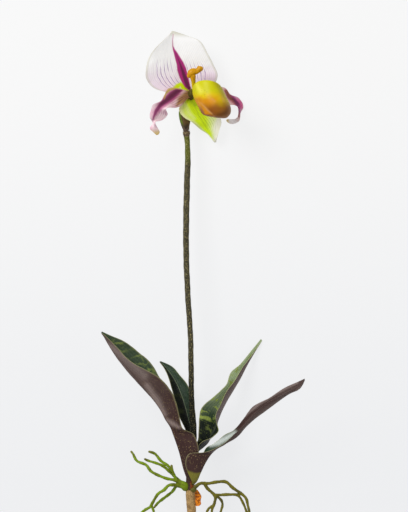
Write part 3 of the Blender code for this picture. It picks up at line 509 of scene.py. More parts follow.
class Number:
    """A number travelling between shader nodes, so that sums on it are written as sums."""

    def __init__(self, tree, socket):
        self.tree, self.socket = tree, socket

    def worked(self, kind, *others, turned=False):
        """The number that a Math node makes of this one and others; turned puts this one last."""
        node = self.tree.nodes.new("ShaderNodeMath")
        node.operation = kind
        order = (*others, self) if turned else (self, *others)
        for slot, value in zip(node.inputs, order):
            if isinstance(value, Number):
                self.tree.links.new(value.socket, slot)
            else:
                slot.default_value = value
        return Number(self.tree, node.outputs[0])

    def __add__(self, other):
        return self.worked("ADD", other)

    def __sub__(self, other):
        return self.worked("SUBTRACT", other)

    def __rsub__(self, other):
        return self.worked("SUBTRACT", other, turned=True)

    def __mul__(self, other):
        return self.worked("MULTIPLY", other)

    __radd__ = __add__
    __rmul__ = __mul__


class Finish:
    """One material, built node by node round its Principled shader."""

    def __init__(self, name, **constants):
        self.material = bpy.data.materials.new(name)
        self.material.use_nodes = True
        self.tree = self.material.node_tree
        self.shader = self.tree.nodes["Principled BSDF"]
        for socket, value in constants.items():
            self.shader.inputs[socket.replace("_", " ")].default_value = value

    def add(self, kind, settings, inputs, output=0):
        """A node of a kind with its settings and inputs; gives back one of its outputs."""
        node = self.tree.nodes.new("ShaderNode" + kind)
        for setting, value in settings.items():
            setattr(node, setting, value)
        for socket, value in inputs.items():
            if isinstance(value, Number):
                self.tree.links.new(value.socket, node.inputs[socket])
            else:
                node.inputs[socket].default_value = value
        return Number(self.tree, node.outputs[output])

    def other(self, number, output):
        """Another output of the node that a number comes from."""
        return Number(self.tree, number.socket.node.outputs[output])

    def spot(self):
        """Place on the piece in millimetres."""
        place = self.add("TexCoord", {}, {}, "Object")
        return self.add("VectorMath", {"operation": "SCALE"}, {0: place, "Scale": 1 / MM})

    def surface(self):
        """Place across and along the piece, each from 0 to 1."""
        both = self.add("SeparateXYZ", {}, {0: self.add("UVMap", {"uv_map": "surface"}, {})})
        return both, self.other(both, 1)

    def spread(self, across, along):
        """A place to read noise at, made of two numbers."""
        return self.add("CombineXYZ", {}, {0: across, 1: along})

    def paint(self, layer):
        """The colour painted on the piece's points, and how strong the pattern is there."""
        colour = self.add("Attribute", {"attribute_name": layer}, {}, "Color")
        return colour, self.other(colour, "Alpha")

    def noise(self, place, size, detail=2.0, rough=0.5, warp=0.0):
        """Clouds of a size in the place's units, from 0 to 1."""
        return self.add("TexNoise", {}, {"Vector": place, "Scale": 1 / size, "Detail": detail,
                                         "Roughness": rough, "Distortion": warp}, "Fac")

    def dots(self, place, size, random_share, radius):
        """Round specks: the share of cells that hold one, and its radius as a share of the cell."""
        cell = self.add("TexVoronoi", {}, {"Vector": place, "Scale": 1 / size}, "Distance")
        pick = self.add("SeparateXYZ", {}, {0: self.other(cell, "Color")})
        chosen = self.ease(pick, random_share + 0.02, random_share - 0.02)
        return self.ease(cell, radius, radius * 0.55) * chosen

    def ease(self, value, low, high):
        """0 at low, 1 at high and smooth between them."""
        return self.add("MapRange", {"interpolation_type": "SMOOTHSTEP"},
                        {"Value": value, "From Min": low, "From Max": high})

    def lines(self, value, count, width):
        """Thin lines, count of them over a value of 1; width is a share of their spacing."""
        fold = (value * count).worked("PINGPONG", 0.5)
        return self.ease(fold, width, 0.0)

    def mix(self, first, second, share):
        """One colour laid over another; a colour is a Number or three parts."""
        first, second = (c if isinstance(c, Number) else (*c, 1.0) for c in (first, second))
        return self.add("Mix", {"data_type": "RGBA"}, {0: share, 6: first, 7: second}, 2)

    def shade(self, colour, amount):
        """Makes a colour lighter or darker by a number round 1."""
        return self.add("VectorMath", {"operation": "SCALE"}, {0: colour, "Scale": amount})

    def give(self, socket, value):
        """Joins a number or colour to the shader."""
        self.tree.links.new(value.socket, self.shader.inputs[socket])

    def bump(self, height, strength=1.0):
        """Relief from a height in millimetres."""
        self.give("Normal", self.add("Bump", {}, {"Strength": strength, "Distance": MM, "Height": height}))


def between(points, share):
    """Smooth curves through the guide points, read at shares from 0 to 1 of the way."""
    points = np.asarray(points, dtype=float)
    last = len(points) - 1
    place = np.clip(np.asarray(share, dtype=float), 0.0, 1.0) * last
    i = np.minimum(place.astype(int), last - 1)
    t = (place - i).reshape(-1, *[1] * (points.ndim - 1))
    a, b, c, d = (points[np.clip(i + k, 0, last)] for k in (-1, 0, 1, 2))
    return b + 0.5 * t * (c - a + t * (2 * a - 5 * b + 4 * c - d + t * (3 * (b - c) + d - a)))


def on_face(stations):
    """Turns heights over the flower's leaning face into Z."""
    return [[(x, y, FACE_MIDDLE_Z + h + FACE_X * x + FACE_Y * (y - FACE_MIDDLE_Y)) for x, y, h in row]
            for row in stations]


# How each blade is made: guide points, material slot, columns and rows of its grid, softness of the crease at
# its rib, height of its unevenness, height and number of its margins' ripples, and how far each half bulges.
BLADES = {
    "dorsal_sepal": (on_face(DORSAL_SEPAL), "sepal_white", (104, 110), 0.16, 0.5, 0.7, 3, 0.0),
    "synsepal": (on_face(SYNSEPAL), "sepal_lime", (60, 90), 0.2, 0.35, 0.3, 2, 0.6),
    "petal_left": (on_face(PETAL_LEFT), "petal_left_pink", (44, 170), 0.2, 0.5, 0.7, 4, 0.4),
    "petal_right": (on_face(PETAL_RIGHT), "petal_right_crimson", (44, 170), 0.2, 0.5, 0.3, 4, 0.4),
    "bract": (BRACT, "bract_green", (30, 40), 0.1, 0.3, 0.0, 0, 0.0),
    "leaf_front_left": (LEAF_FRONT_LEFT, "leaf_purple_back", (64, 170), 0.05, 0.8, 0.8, 5, -1.8),
    "leaf_back_left": (LEAF_BACK_LEFT, "leaf_dark", (64, 170), 0.05, 0.8, 0.5, 3, -1.4),
    "leaf_back_right": (LEAF_BACK_RIGHT, "leaf_mottled", (64, 170), 0.05, 0.8, 0.7, 5, -1.6),
    "leaf_front_right": (LEAF_FRONT_RIGHT, "leaf_barred", (64, 170), 0.05, 0.8, 0.5, 5, 1.8),
    "paper_scrap": (PAPER_SCRAP, "scrap_orange", (40, 60), 0.05, 2.0, 0.3, 3, 0.3),
}
# Folds of a blade: place along and across it, reach each way as shares of it, and height in millimetres.
FOLDS = {
    "leaf_front_left": ((0.37, -0.6, 0.03, 0.5, -1.8), (0.3, -0.5, 0.035, 0.5, 1.4),
                        (0.55, -0.7, 0.05, 0.5, -1.2)),
    "leaf_back_right": ((0.36, -0.6, 0.04, 0.5, 1.2), (0.62, -0.6, 0.05, 0.5, 1.0)),
    "leaf_front_right": ((0.55, -0.5, 0.04, 0.6, 1.0), (0.75, -0.4, 0.05, 0.6, 0.8)),
}
# How each leaf is painted; paint_leaf says what the words mean.
LEAF_PAINT = {
    "leaf_front_left": {"foot": 0.3, "middle": 0.8, "barred": (0.4, 0.6), "pale_tip": 0.07},
    "leaf_back_left": {"foot": 0.1, "middle": 0.5, "barred": (0.1, 0.1), "dark": 0.97},
    "leaf_back_right": {"foot": 0.2, "middle": 0.7, "barred": (1.3, 1.5), "pale_tip": 0.84,
                        "black_foot": 0.34},
    "leaf_front_right": {"foot": 0.4, "middle": 0.8, "barred": (0.1, 0.0), "pale_tip": 0.9, "turned": 0.52,
                         "sheath": 0.165, "glint": GLINT},
}


def ease(value, low, high):
    """0 at low, 1 at high and smooth between them."""
    t = np.clip((value - low) / (high - low), 0.0, 1.0)
    return t * t * (3 - 2 * t)


def stroke(x, y, line, soft):
    """Cover of a brush drawn along a line of X, Y and half width."""
    gap = np.full(len(x), FAR)
    for (ax, ay, aw), (bx, by, bw) in zip(line, line[1:]):
        dx, dy = bx - ax, by - ay
        t = np.clip(((x - ax) * dx + (y - ay) * dy) / (dx * dx + dy * dy + TINY), 0.0, 1.0)
        gap = np.minimum(gap, np.hypot(x - ax - t * dx, y - ay - t * dy) - (aw + (bw - aw) * t))
    return ease(gap, soft / 2, -soft / 2)


def uneven(points, size, seed=0.0):
    """Smooth random numbers from -1 to 1 over points in millimetres."""
    return np.array([noise.noise(Vector(p / size) + Vector((seed, 3.7 * seed, 1.3 * seed))) for p in points])


def coat(under, colour, cover):
    """Lays a colour over what is painted already."""
    return under + (np.asarray(colour) - under) * np.clip(cover, 0.0, 1.0)[:, None]


def touch(under, look, touches, x, y, share=1.0):
    """Lays soft brush strokes in a look's colours over what is painted already; share weakens them."""
    for name, cover, soft, line in touches:
        under = coat(under, getattr(look, name), stroke(x, y, line, soft) * cover * share)
    return under


def flat(colour, count):
    """One colour for a number of points."""
    return np.tile(np.asarray(colour, dtype=float), (count, 1))


def grid(columns, rows):
    """A flat grid with its surface map, and where its points are across, -1 to 1, and along, 0 to 1."""
    bm = bmesh.new()
    bm.loops.layers.uv.new("surface")
    bmesh.ops.create_grid(bm, x_segments=columns, y_segments=rows, size=1, calc_uvs=True)
    places = np.array([v.co for v in bm.verts])
    return bm, places[:, 0], (places[:, 1] + 1) / 2


def lay(bm, points, paints):
    """Moves the points to their places in millimetres and paints them; a paint is a colour and a strength."""
    layers = {name: bm.verts.layers.float_color.new(name) for name in paints}
    for i, v in enumerate(bm.verts):
        v.co = Vector(points[i] * MM) + PLACE
        for name, layer in layers.items():
            colour, strength = paints[name]
            v[layer] = (*colour[i], strength[i])


def piece(name, bm, finishes):
    """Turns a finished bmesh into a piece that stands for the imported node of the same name."""
    mesh = bpy.data.meshes.new(name)
    bm.to_mesh(mesh)
    bm.free()
    mesh.polygons.foreach_set("use_smooth", [True] * len(mesh.polygons))
    obj = bpy.data.objects.new(f"{name}_finished", mesh)
    bpy.context.scene.collection.objects.link(obj)
    for finish in finishes:
        mesh.materials.append(finish.material)
    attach(obj, "root")
    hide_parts(name)
    return obj


def ripple(across, share, waves):
    """Waves along a blade from -1 to 1, out of step between its two margins."""
    return np.sin(2 * math.pi * waves * share + np.where(across > 0, OUT_OF_STEP, 0.0))


def blade(name, thick, rim, painter, finishes):
    """A leaf or petal: a fine grid laid on its margins and rib, rippled, painted and given a thickness.

    thick is in metres, and rim is the margin's thickness as a share of it.
    """
    stations, slot, size, rounding, relief, wave, waves, bulge = BLADES[name]
    bm, across, share = grid(*size)
    at = between(stations, share)
    ahead = between(stations, share + AHEAD)[:, 1] - between(stations, share - AHEAD)[:, 1]
    normal = np.cross(at[:, 2] - at[:, 0], ahead)
    normal /= np.linalg.norm(normal, axis=1)[:, None]
    one = (np.sqrt(across ** 2 + rounding ** 2) - across) / 2
    other = one + across
    points = at[:, 1] + (at[:, 0] - at[:, 1]) * one[:, None] + (at[:, 2] - at[:, 1]) * other[:, None]
    out = np.abs(across)
    middle = np.sin(math.pi * share)
    lift = bulge * 4 * out * (1 - out) * middle
    for along, aside, long, wide, high in FOLDS.get(name, ()):
        off = (share - along - FOLD_SLANT * across) / long
        lift += high * np.exp(-off ** 2 - ((across - aside) / wide) ** 2)
    lift += wave * middle * out ** 2 * ripple(across, share, waves)
    rough = uneven(points, 9.0, 1.0) * 0.6 + uneven(points, 4.0, 2.0) * 0.25
    lift += relief * rough * (0.4 + 0.6 * out) * middle
    points = points + normal * lift[:, None]
    lay(bm, points, painter(across, share, points))
    obj = piece(name, bm, finishes)
    body = obj.vertex_groups.new(name="body")
    weight = np.clip((1 - out) * FULL_IN, 0.0, 1.0)
    weight *= np.clip(np.minimum(share, 1 - share) * FULL_ALONG, THIN_END, 1.0)
    for i, w in enumerate(weight):
        body.add([i], float(w), "REPLACE")
    skin = obj.modifiers.new("thickness", "SOLIDIFY")
    skin.thickness = thick
    skin.offset = 0
    skin.vertex_group = "body"
    skin.thickness_vertex_group = rim
    skin.material_offset = 1


def rolled(axis, rows, sides, swell=None, rounds=(False, False)):
    """A grid rolled round an axis of X, Y, Z and radius, closed at both ends, and its points in millimetres.

    swell changes the radius by the place around and the millimetres run along it; rounds says which ends are
    round.
    """
    bm, across, _ = grid(sides, rows + 2)
    ring = np.rint([(v.co.y + 1) / 2 * (rows + 2) for v in bm.verts]).astype(int)
    shares = np.linspace(0, 1, rows + 1)
    line = between(axis, shares)
    ways = np.gradient(line[:, :3], axis=0)
    ways /= np.linalg.norm(ways, axis=1)[:, None]
    sideways = np.zeros_like(ways)
    start = np.cross(ways[0], (0.0, 0.0, 1.0) if abs(ways[0][2]) < 0.9 else (1.0, 0.0, 0.0))
    for i, way in enumerate(ways):
        start = start - way * (start @ way)
        start /= np.linalg.norm(start)
        sideways[i] = start
    upwards = np.cross(sideways, ways)
    run = np.concatenate([[0.0], np.cumsum(np.linalg.norm(np.diff(line[:, :3], axis=0), axis=1))])
    radius = line[:, 3].copy()
    for end, is_round in enumerate(rounds):
        if is_round:
            away = run if end == 0 else run[-1] - run
            r = line[0 if end == 0 else -1, 3]
            radius *= np.sqrt(np.clip(1 - (1 - np.clip(away / r, 0, 1)) ** 2, 0.02, 1))
    around = (across + 1) * math.pi
    row = np.clip(ring - 1, 0, rows)
    wide = radius[row] * (swell(around, run[row]) if swell else 1.0)
    wide[(ring == 0) | (ring == rows + 2)] = 0.0
    out = np.cos(around)[:, None] * sideways[row] + np.sin(around)[:, None] * upwards[row]
    return bm, line[row, :3] + out * wide[:, None]


def close(bm):
    """Welds a rolled grid's seam and ends and turns its faces outwards."""
    bmesh.ops.remove_doubles(bm, verts=bm.verts[:], dist=WELD)
    bmesh.ops.dissolve_degenerate(bm, dist=WELD / 4, edges=bm.edges[:])
    bmesh.ops.recalc_face_normals(bm, faces=bm.faces[:])


# Finishes.

def petal_finish(name, layer, vein, vein_count, vein_width=0.16, freckled=0.0):
    """Matt petal: painted colour, fine veins along it, freckles where the paint is strongest, soft grain."""
    made = Finish(name, Roughness=0.5, Specular_IOR_Level=0.25)
    colour, strength = made.paint(layer)
    u, v = made.surface()
    spot = made.spot()
    wobble = made.noise(spot, 6.0, 2.0) - 0.5
    fine = made.lines(u + wobble * 0.02, vein_count * 2, vein_width)
    broken = made.ease(made.noise(made.spread(u * 30, v * 7), 1.0, 3.0), 0.32, 0.52)
    grain = made.noise(spot, 0.5, 3.0, 0.6)
    cloud = made.noise(spot, 7.0, 3.0)
    tinted = made.mix(colour, vein, fine * broken * strength)
    if freckled:
        freckles = made.dots(spot, 1.3, 0.5, 0.3) * made.ease(strength, 0.3, 0.9)
        tinted = made.mix(tinted, vein, freckles * freckled)
    ribs = made.lines(u + wobble * 0.02, vein_count * 4, 0.5)
    made.give("Base Color", made.shade(tinted, 0.95 + 0.08 * grain + 0.06 * cloud - 0.1 * ribs))
    made.give("Roughness", 0.42 + 0.2 * grain)
    made.bump(ribs * 0.05 + grain * 0.06 + cloud * 0.25, 0.7)
    return made


def leaf_upper(name, look):
    """Upper side of a leaf: dark satin green with broken cross bars, fine parallel veins."""
    made = Finish(name, Roughness=0.4, Specular_IOR_Level=0.25)
    colour, strength = made.paint("front")
    u, v = made.surface()
    spot = made.spot()
    wobble = made.noise(spot, 9.0, 2.0) - 0.5
    slanted = made.spread(u * 2.6 + wobble, v * 22 + u * 3 + wobble * 2)
    bars = made.ease(made.noise(slanted, 1.0, 3.0, 0.6, 0.4), 0.53, 0.61)
    blots = made.ease(made.noise(spot, 4.6, 4.0, 0.6, 0.8), 0.54, 0.66)
    pattern = (bars * 0.85 + blots * 0.5) * strength
    veins = made.lines(u + wobble * 0.01, 16, 0.3)
    grain = made.noise(spot, 0.7, 3.0, 0.6)
    painted = made.mix(colour, look.bar, pattern.worked("MINIMUM", 1.0))
    made.give("Base Color", made.shade(painted, 0.86 + 0.2 * grain - 0.1 * veins))
    made.give("Roughness", 0.3 + 0.2 * grain + 0.1 * made.noise(spot, 12.0))
    made.bump(veins * -0.1 + grain * 0.05 + made.noise(spot, 7.0, 3.0) * 0.8)
    return made


def leaf_under(name, look):
    """Underside of a leaf: purple-brown with pale specks, fine lines and a cool sheen."""
    made = Finish(name, Roughness=0.42, Specular_IOR_Level=0.3)
    colour, strength = made.paint("back")
    u, v = made.surface()
    spot = made.spot()
    wobble = made.noise(spot, 12.0, 2.0) - 0.5
    lines = made.lines(u + wobble * 0.015, 16, 0.34)
    streaks = made.noise(made.spread(u * 24 + wobble, v * 4), 1.0, 4.0, 0.65)
    specks = (made.dots(spot, 2.1, 0.5, 0.22) * 0.8 + made.dots(spot, 1.2, 0.35, 0.34) * 0.6) * strength
    grain = made.noise(spot, 0.5, 3.0, 0.6)
    painted = made.mix(colour, look.speck, specks.worked("MINIMUM", 0.8))
    made.give("Base Color", made.shade(painted, 0.52 + 0.76 * streaks + 0.2 * grain - 0.14 * lines))
    made.give("Roughness", 0.32 + 0.16 * grain + 0.12 * streaks)
    made.bump(lines * 0.12 + specks * 0.08 + grain * 0.04 + made.noise(spot, 8.0, 3.0))
    return made


def shell_finish(name, look):
    """The pouch: smooth, waxy and glossy, with a few red-brown freckles."""
    made = Finish(name, Roughness=0.36, Specular_IOR_Level=0.2)
    colour, strength = made.paint("front")
    spot = made.spot()
    cloud = made.noise(spot, 5.0, 4.0, 0.6)
    grain = made.noise(spot, 0.6, 3.0, 0.6)
    freckles = made.dots(spot, 1.7, 0.3, 0.26) * strength
    painted = made.mix(colour, look.brown, freckles * 0.8)
    made.give("Base Color", made.shade(painted, 0.86 + 0.22 * cloud + 0.05 * grain))
    made.give("Roughness", 0.34 + 0.12 * grain + 0.1 * cloud)
    made.bump(cloud * 0.2 + grain * 0.03, 0.6)
    return made


def root_finish(name, shade, tip):
    """Rubbery root: its painted colour mottled in clouds with a darker tone, with small pits."""
    made = Finish(name, Roughness=0.5, Specular_IOR_Level=0.14)
    spot = made.spot()
    cloud = made.noise(spot, 4.5, 4.0, 0.6)
    grain = made.noise(spot, 0.7, 4.0, 0.65)
    pits = made.dots(spot, 1.3, 0.4, 0.3)
    colour, _ = made.paint("front")
    mottled = made.mix(colour, shade, made.ease(cloud, 0.46, 0.72) * 0.75)
    painted = made.mix(mottled, tip, pits * 0.35)
    made.give("Base Color", made.shade(painted, 0.82 + 0.3 * grain))
    made.give("Roughness", 0.4 + 0.25 * grain)
    made.bump(cloud * 0.5 + grain * 0.14 - pits * 0.12, 0.9)
    return made


def flocked_finish(name, look):
    """The flower stalk: flocked, with pale flecks over a colour that darkens towards its foot."""
    made = Finish(name, Roughness=0.85, Specular_IOR_Level=0.2)
    colour, strength = made.paint("front")
    spot = made.spot()
    grain = made.noise(spot, 0.45, 3.0, 0.7)
    cloud = made.noise(spot, 5.0, 3.0)
    flecks = made.ease(made.noise(spot, 1.1, 3.0, 0.7), 0.53, 0.64) * strength
    painted = made.mix(colour, look.fleck, flecks * 0.75)
    mottle = made.noise(spot, 1.5, 2.0, 0.7)
    made.give("Base Color", made.shade(painted, 0.5 * grain + 0.24 * cloud + 1.2 * mottle))
    made.bump(grain * 0.4 + cloud * 0.3)
    return made


def paper_finish(name, shade, crease):
    """Creased crepe paper: a fine grain, blotches and darker folds."""
    made = Finish(name, Roughness=0.75, Specular_IOR_Level=0.3)
    colour, _ = made.paint("front")
    spot = made.spot()
    cloud = made.noise(spot, 3.2, 4.0, 0.6, 0.4)
    grain = made.noise(spot, 0.5, 3.0, 0.6)
    swirl = made.noise(spot, crease, 2.0, 0.5, 1.2)
    folds = made.ease(swirl, 0.47, 0.5) * made.ease(swirl, 0.54, 0.51)
    # the darker folds are painted shade in the crepe's creases; the blotches are the paper's own tone
    painted = made.mix(made.mix(colour, shade, made.ease(cloud, 0.48, 0.74) * 0.6), shade, folds * 0.7)
    made.give("Base Color", made.shade(painted, 0.84 + 0.26 * grain))
    made.give("Roughness", 0.62 + 0.2 * grain)
    made.bump(cloud * 0.5 + grain * 0.12 - folds * 0.2)
    return made


# Painters: each gives the colour and the pattern's strength at every point of a blade.

def paint_dorsal(look):
    """White over lilac, with the purple wedge, its lime base and fine veins beside it."""
    def painter(across, share, points):
        x, y = points[:, 0], points[:, 1]
        rough = uneven(points, 5.0, 4.0)
        colour = coat(flat(look.white, len(x)), look.lilac, ease(y + 3 * rough, 431.0, 403.0) * 0.9)
        colour = coat(colour, look.deep_lilac, ease(y + 2 * rough, 428.0, 412.0) * ease(x, 4.0, 16.0) * 0.7)
        colour = coat(colour, look.deep_lilac, ease(share, 0.06, 0.16) * ease(y, 418.0, 402.0) * 0.1)
        colour = coat(colour, look.sepal_tip_and_edge_shade, ease(share, 0.82, 0.95) * 0.8)
        # greyish rim along both margins: partly the sepal's own rim, partly painted shade along its edge
        colour = coat(colour, look.sepal_tip_and_edge_shade, ease(np.abs(across), 0.9, 1.0) * 0.7)
        back = colour.copy()
        colour = coat(colour, look.pink, stroke(x, y, WEDGE, 3.4) * 0.5)
        base = stroke(x, y, LIME_BASE, 1.8)
        colour = coat(colour, look.lime, base)
        colour = coat(colour, look.ochre, base * ease(x, -14.0, -18.5) * 0.6)
        # painted shade in olive over the lime base
        colour = coat(colour, look.olive, stroke(x, y, LIME_SHADE, 1.8) * 0.7)
        colour = coat(colour, look.magenta, stroke(x, y, WEDGE, 0.9))
        colour = coat(colour, look.maroon, stroke(x, y, WEDGE_HEART, 1.6) * 0.92)
        back = coat(back, look.pink, stroke(x, y, WEDGE, 2.4) * 0.5)
        ragged = uneven(np.outer(across, (9, 0, 0)), 1.0)
        reach = np.where(across < 0, 0.6, 0.58) + 0.06 * ragged
        veined = ease(share, 0.1, 0.18) * ease(share, reach, reach - 0.16) * ease(np.abs(across), 0.12, 0.2)
        veined *= ease(np.abs(across), 0.8, 0.66) * (1 - stroke(x, y, WEDGE, 2.0)) * (1 - base)
        veined *= 0.9 + 0.4 * rough
        return {"front": (colour, np.clip(veined, 0, 1)), "back": (back, np.clip(veined * 0.6, 0, 1))}
    return painter


def paint_synsepal(look):
    """Lime with a pale left margin and a cream corner."""
    def painter(across, share, points):
        x, y = points[:, 0], points[:, 1]
        rough = uneven(points, 5.0, 5.0)
        colour = flat(look.lime, len(x))
        colour = coat(colour, look.blush_and_sheen, ease(across + 0.12 * rough, -0.3, -0.95) * 0.85)
        colour = touch(colour, look, SYNSEPAL_TOUCHES, x, y)
        colour = coat(colour, look.sepal_tip_and_edge_shade, ease(share, 0.86, 0.97) * 0.9)
        veined = ease(np.abs(across), 0.9, 0.6) * ease(share, 0.95, 0.8) * 0.55
        return {"front": (colour, veined), "back": (coat(colour, look.cream, np.full(len(x), 0.2)), veined)}
    return painter


def paint_petal(look, band, glow, olive, tip, rim=None, crimson=None, pale=0.0):
    """Pink with a dark band along its middle; tip is where its ochre tip begins and is whole."""
    def painter(across, share, points):
        x, y = points[:, 0], points[:, 1]
        rough = uneven(points, 4.0, 6.0)
        colour = flat(look.pink, len(x))
        colour = coat(colour, look.white, ease(rough, 0.1, 0.6) * 0.3)
        colour = coat(colour, look.mauve, stroke(x, y, [(a, b, w * 1.6) for a, b, w in band], 4.5) * 0.9)
        colour = coat(colour, look.magenta, stroke(x, y, glow, 3.0) * 0.55)
        colour = coat(colour, look.purple, stroke(x, y, band, 1.6) * 0.9)
        colour = coat(colour, look.maroon, stroke(x, y, [(a, b, w * 0.6) for a, b, w in band], 2.6)
                      * ease(share, 0.66, 0.3) * 0.9)
        out = np.abs(across)
        # painted shade in the troughs of the ripples (hollow); the darker margin is the petal's own colour
        hollow = ease(ripple(across, share, 4) * out + 0.3 * rough, 0.1, 0.9)
        colour = coat(colour, look.mauve, hollow * 0.34 + ease(out, 0.86, 1.0) * 0.2)
        if crimson:
            colour = coat(colour, look.crimson, stroke(x, y, crimson, 3.4) * 0.85)
            colour = coat(colour, look.olive, ease(x + 0.5 * (y - 400.0), 38.5, 36.0) * 0.4)
        colour = coat(colour, look.olive, stroke(x, y, olive, 5.0) * 0.9)
        if rim:
            colour = coat(colour, look.ochre, stroke(x, y, rim, 1.6) * 0.9)
            colour = coat(colour, look.lime, stroke(x, y, LIME_RIM, 1.6) * 0.9)
        colour = coat(colour, look.white, ease(share, tip[0] - 0.2, tip[0] - 0.06) * pale)
        colour = coat(colour, look.ochre, ease(share + 0.02 * rough, *tip) * 0.85)
        veined = np.maximum(ease(share, 0.9, 0.6) * 0.4, stroke(x, y, olive, 5.0))
        back = coat(colour, look.pink, np.full(len(x), 0.5))
        return {"front": (colour, veined), "back": (back, veined * 0.5)}
    return painter


def paint_leaf(name, look, foot, middle, barred, dark=0.0, pale_tip=0.0, turned=None, sheath=0.0, glint=None,
               black_foot=0.0):
    """Green above and purple-brown below.

    foot and middle are where the underside is darkest and palest, and barred is the strength of the bars at
    the foot and the tip. dark is the depth of the painted shade on the half that faces away from the light, and
    pale_tip the strength of the worn tip. From turned on, the leaf shows its brown side only. sheath is how
    much of the foot is yellow-green, glint is a painted highlight brushed over the upper side, and black_foot
    is how much of the foot is painted in shade, as in the dark of the crown.
    """
    def painter(across, share, points):
        x, y, count = points[:, 0], points[:, 1], len(points)
        rough = uneven(points, 11.0, 7.0)
        out = np.abs(across)
        under = coat(flat(look.purple, count), look.mauve, ease(share + 0.1 * rough, foot, middle) * 0.9)
        # painted shade: the underside darker towards its margins, as it curves away from the light
        under = coat(under, look.purple, ease(out + 0.2 * rough, 0.3, 0.8) * 0.45)
        under = coat(under, look.keel, ease(out, 0.08, 0.0) * 0.8)
        under = coat(under, look.keel, ease(share, 0.9, 1.0) * 0.5)
        # painted sheens and painted shade on the underside
        under = touch(under, look, LEAF_TOUCHES.get(name, ()), x, y)
        upper = coat(flat(look.green, count), look.deep_green, ease(share, 0.3, 0.02) * 0.85)
        # painted shade on the half that faces away from the light
        upper = coat(upper, look.deep_green, dark * ease(across, 0.06, -0.06))
        upper = coat(upper, look.pale, ease(share + 0.06 * rough, 0.34, 0.8) * pale_tip)
        upper = coat(upper, look.pale, ease(out, 0.05, 0.0) * 0.4)
        bars = barred[0] + (barred[1] - barred[0]) * share
        bars *= ease(rough, -0.5, 0.2) * ease(share, 0.03, 0.12)
        if turned:
            gone = ease(share, turned - 0.05, turned + 0.05)
            upper = upper + (under - upper) * gone[:, None]
            bars = bars * (1 - gone)
        # painted highlight on the pale bent part of the upper side
        if glint:
            lit = stroke(x, y, glint, 5.0)
            upper = coat(upper, look.glint, lit * 0.95)
            bars = bars * (1 - lit)
        # painted shade where the foot lies in the dark of the crown
        if black_foot:
            black = ease(share, black_foot + 0.04, black_foot - 0.06)
            under, upper = coat(under, look.deep_green, black), coat(upper, look.deep_green, black * 0.8)
            bars = bars * (1 - 0.7 * black)
        edge = ease(out, 0.955, 0.99) * (1 - (gone if turned else 0.0))
        under = coat(under, look.margin, edge * 0.55)
        upper = coat(upper, look.margin, edge * 0.7)
        if sheath:
            under = coat(under, look.sheath, ease(share + 0.02 * rough, sheath + 0.012, sheath - 0.012))
        specks = ease(share, 0.85, 0.25) * (1 if not sheath else ease(share, sheath, sheath + 0.03))
        return {"front": (upper, np.clip(bars, 0, 1)), "back": (under, np.clip(specks, 0, 1))}
    return painter


# Pieces.

def pouch_points(around, share):
    """The pouch's outer skin: around in radians, share 0 at the lip and 1 at the toe."""
    x, y, z, wide, deep, lift = between(POUCH, share).T
    points = np.stack([x, y + lift * np.cos(around - RIM_PEAK), z], axis=1)
    points += np.outer(wide * np.cos(around), POUCH_SIDE)
    points += np.outer(deep * np.sin(around), POUCH_FRONT)
    off = beside(points[:, 0], points[:, 1], CREASE)
    near = 1 - np.clip(off / CREASE_ROUND, 0.0, 1.0)
    fall = CREASE_FALL * (1 - np.sqrt(1 - near ** 2)) + 0.5 * ease(off, 0.1, -0.5)
    fall *= ease(points[:, 1], 397.0, 388.0)
    groove = np.exp(-(beside(points[:, 0], points[:, 1], GROOVE) / GROOVE_HALF) ** 2)
    fall += GROOVE_DEEP * groove * ease(points[:, 1], 399.0, 395.0)
    fall *= ease(np.sin(around), 0.05, 0.6) * ease(share, 0.1, 0.3) * ease(share, 0.99, 0.84)
    foot = np.maximum(points[:, 1], FLAP_FOOT - FOOT_DROP * ease(points[:, 0], 17.0, 27.0))
    points[:, 1] += (foot - points[:, 1]) * ease(np.sin(around), -0.3, 0.4)
    return points - np.outer(fall, POUCH_FRONT)


def beside(x, y, line):
    """Distance from a line of X and Y, positive on its left as it is drawn."""
    best, sign = np.full(len(x), FAR), np.ones(len(x))
    for (ax, ay), (bx, by) in zip(line, line[1:]):
        dx, dy = bx - ax, by - ay
        t = np.clip(((x - ax) * dx + (y - ay) * dy) / (dx * dx + dy * dy), 0.0, 1.0)
        gap = np.hypot(x - ax - t * dx, y - ay - t * dy)
        closer = gap < best
        best = np.where(closer, gap, best)
        sign = np.where(closer, np.sign(dx * (y - ay) - dy * (x - ax) + TINY), sign)
    return best * sign


def make_pouch(look):
    """The hollow pouch, painted from lemon at its top to brown at its toe."""
    bm, across, share = grid(*POUCH_GRID)
    around = math.pi * (across + 1) - math.pi / 2
    points = pouch_points(around, share)
    x, y = points[:, 0], points[:, 1]
    down = 396.0 - y + 0.06 * (x - 20) + 1.5 * uneven(points, 6.0, 8.0)
    colour = coat(flat(look.gold, len(x)), look.lemon, ease(down, 3.0, -4.0))
    colour = coat(colour, look.amber, ease(down, 0.5, 6.5) * ease(x, 33.0, 20.0))
    colour = coat(colour, look.brown, ease(down + 0.12 * (x - 20), 6.0, 17.0) * 0.92)
    front = ease(np.sin(around), 0.0, 0.35) * ease(share, 1.0, 0.9)
    flap = ease(beside(x, y, CREASE), 0.2, -0.4) * ease(y, 392.0, 387.0) * front
    flap *= 0.3 + 0.7 * ease(y, FLAP_FOOT + 0.1, FLAP_FOOT + 2.1)
    colour = coat(colour, look.amber, flap * 0.9)
    # the touches include painted highlights and a painted shade in the groove
    colour = touch(colour, look, POUCH_TOUCHES, x, y, front)
    strength = ease(np.hypot(x - FRECKLES_X, y - FRECKLES_Y), 7.0, 3.0)
    lay(bm, points, {"front": (colour, strength)})
    close(bm)
    obj = piece("pouch", bm, [shell_finish("pouch_shell", look)])
    skin = obj.modifiers.new("thickness", "SOLIDIFY")
    skin.thickness = POUCH_WALL
    skin.offset = -1


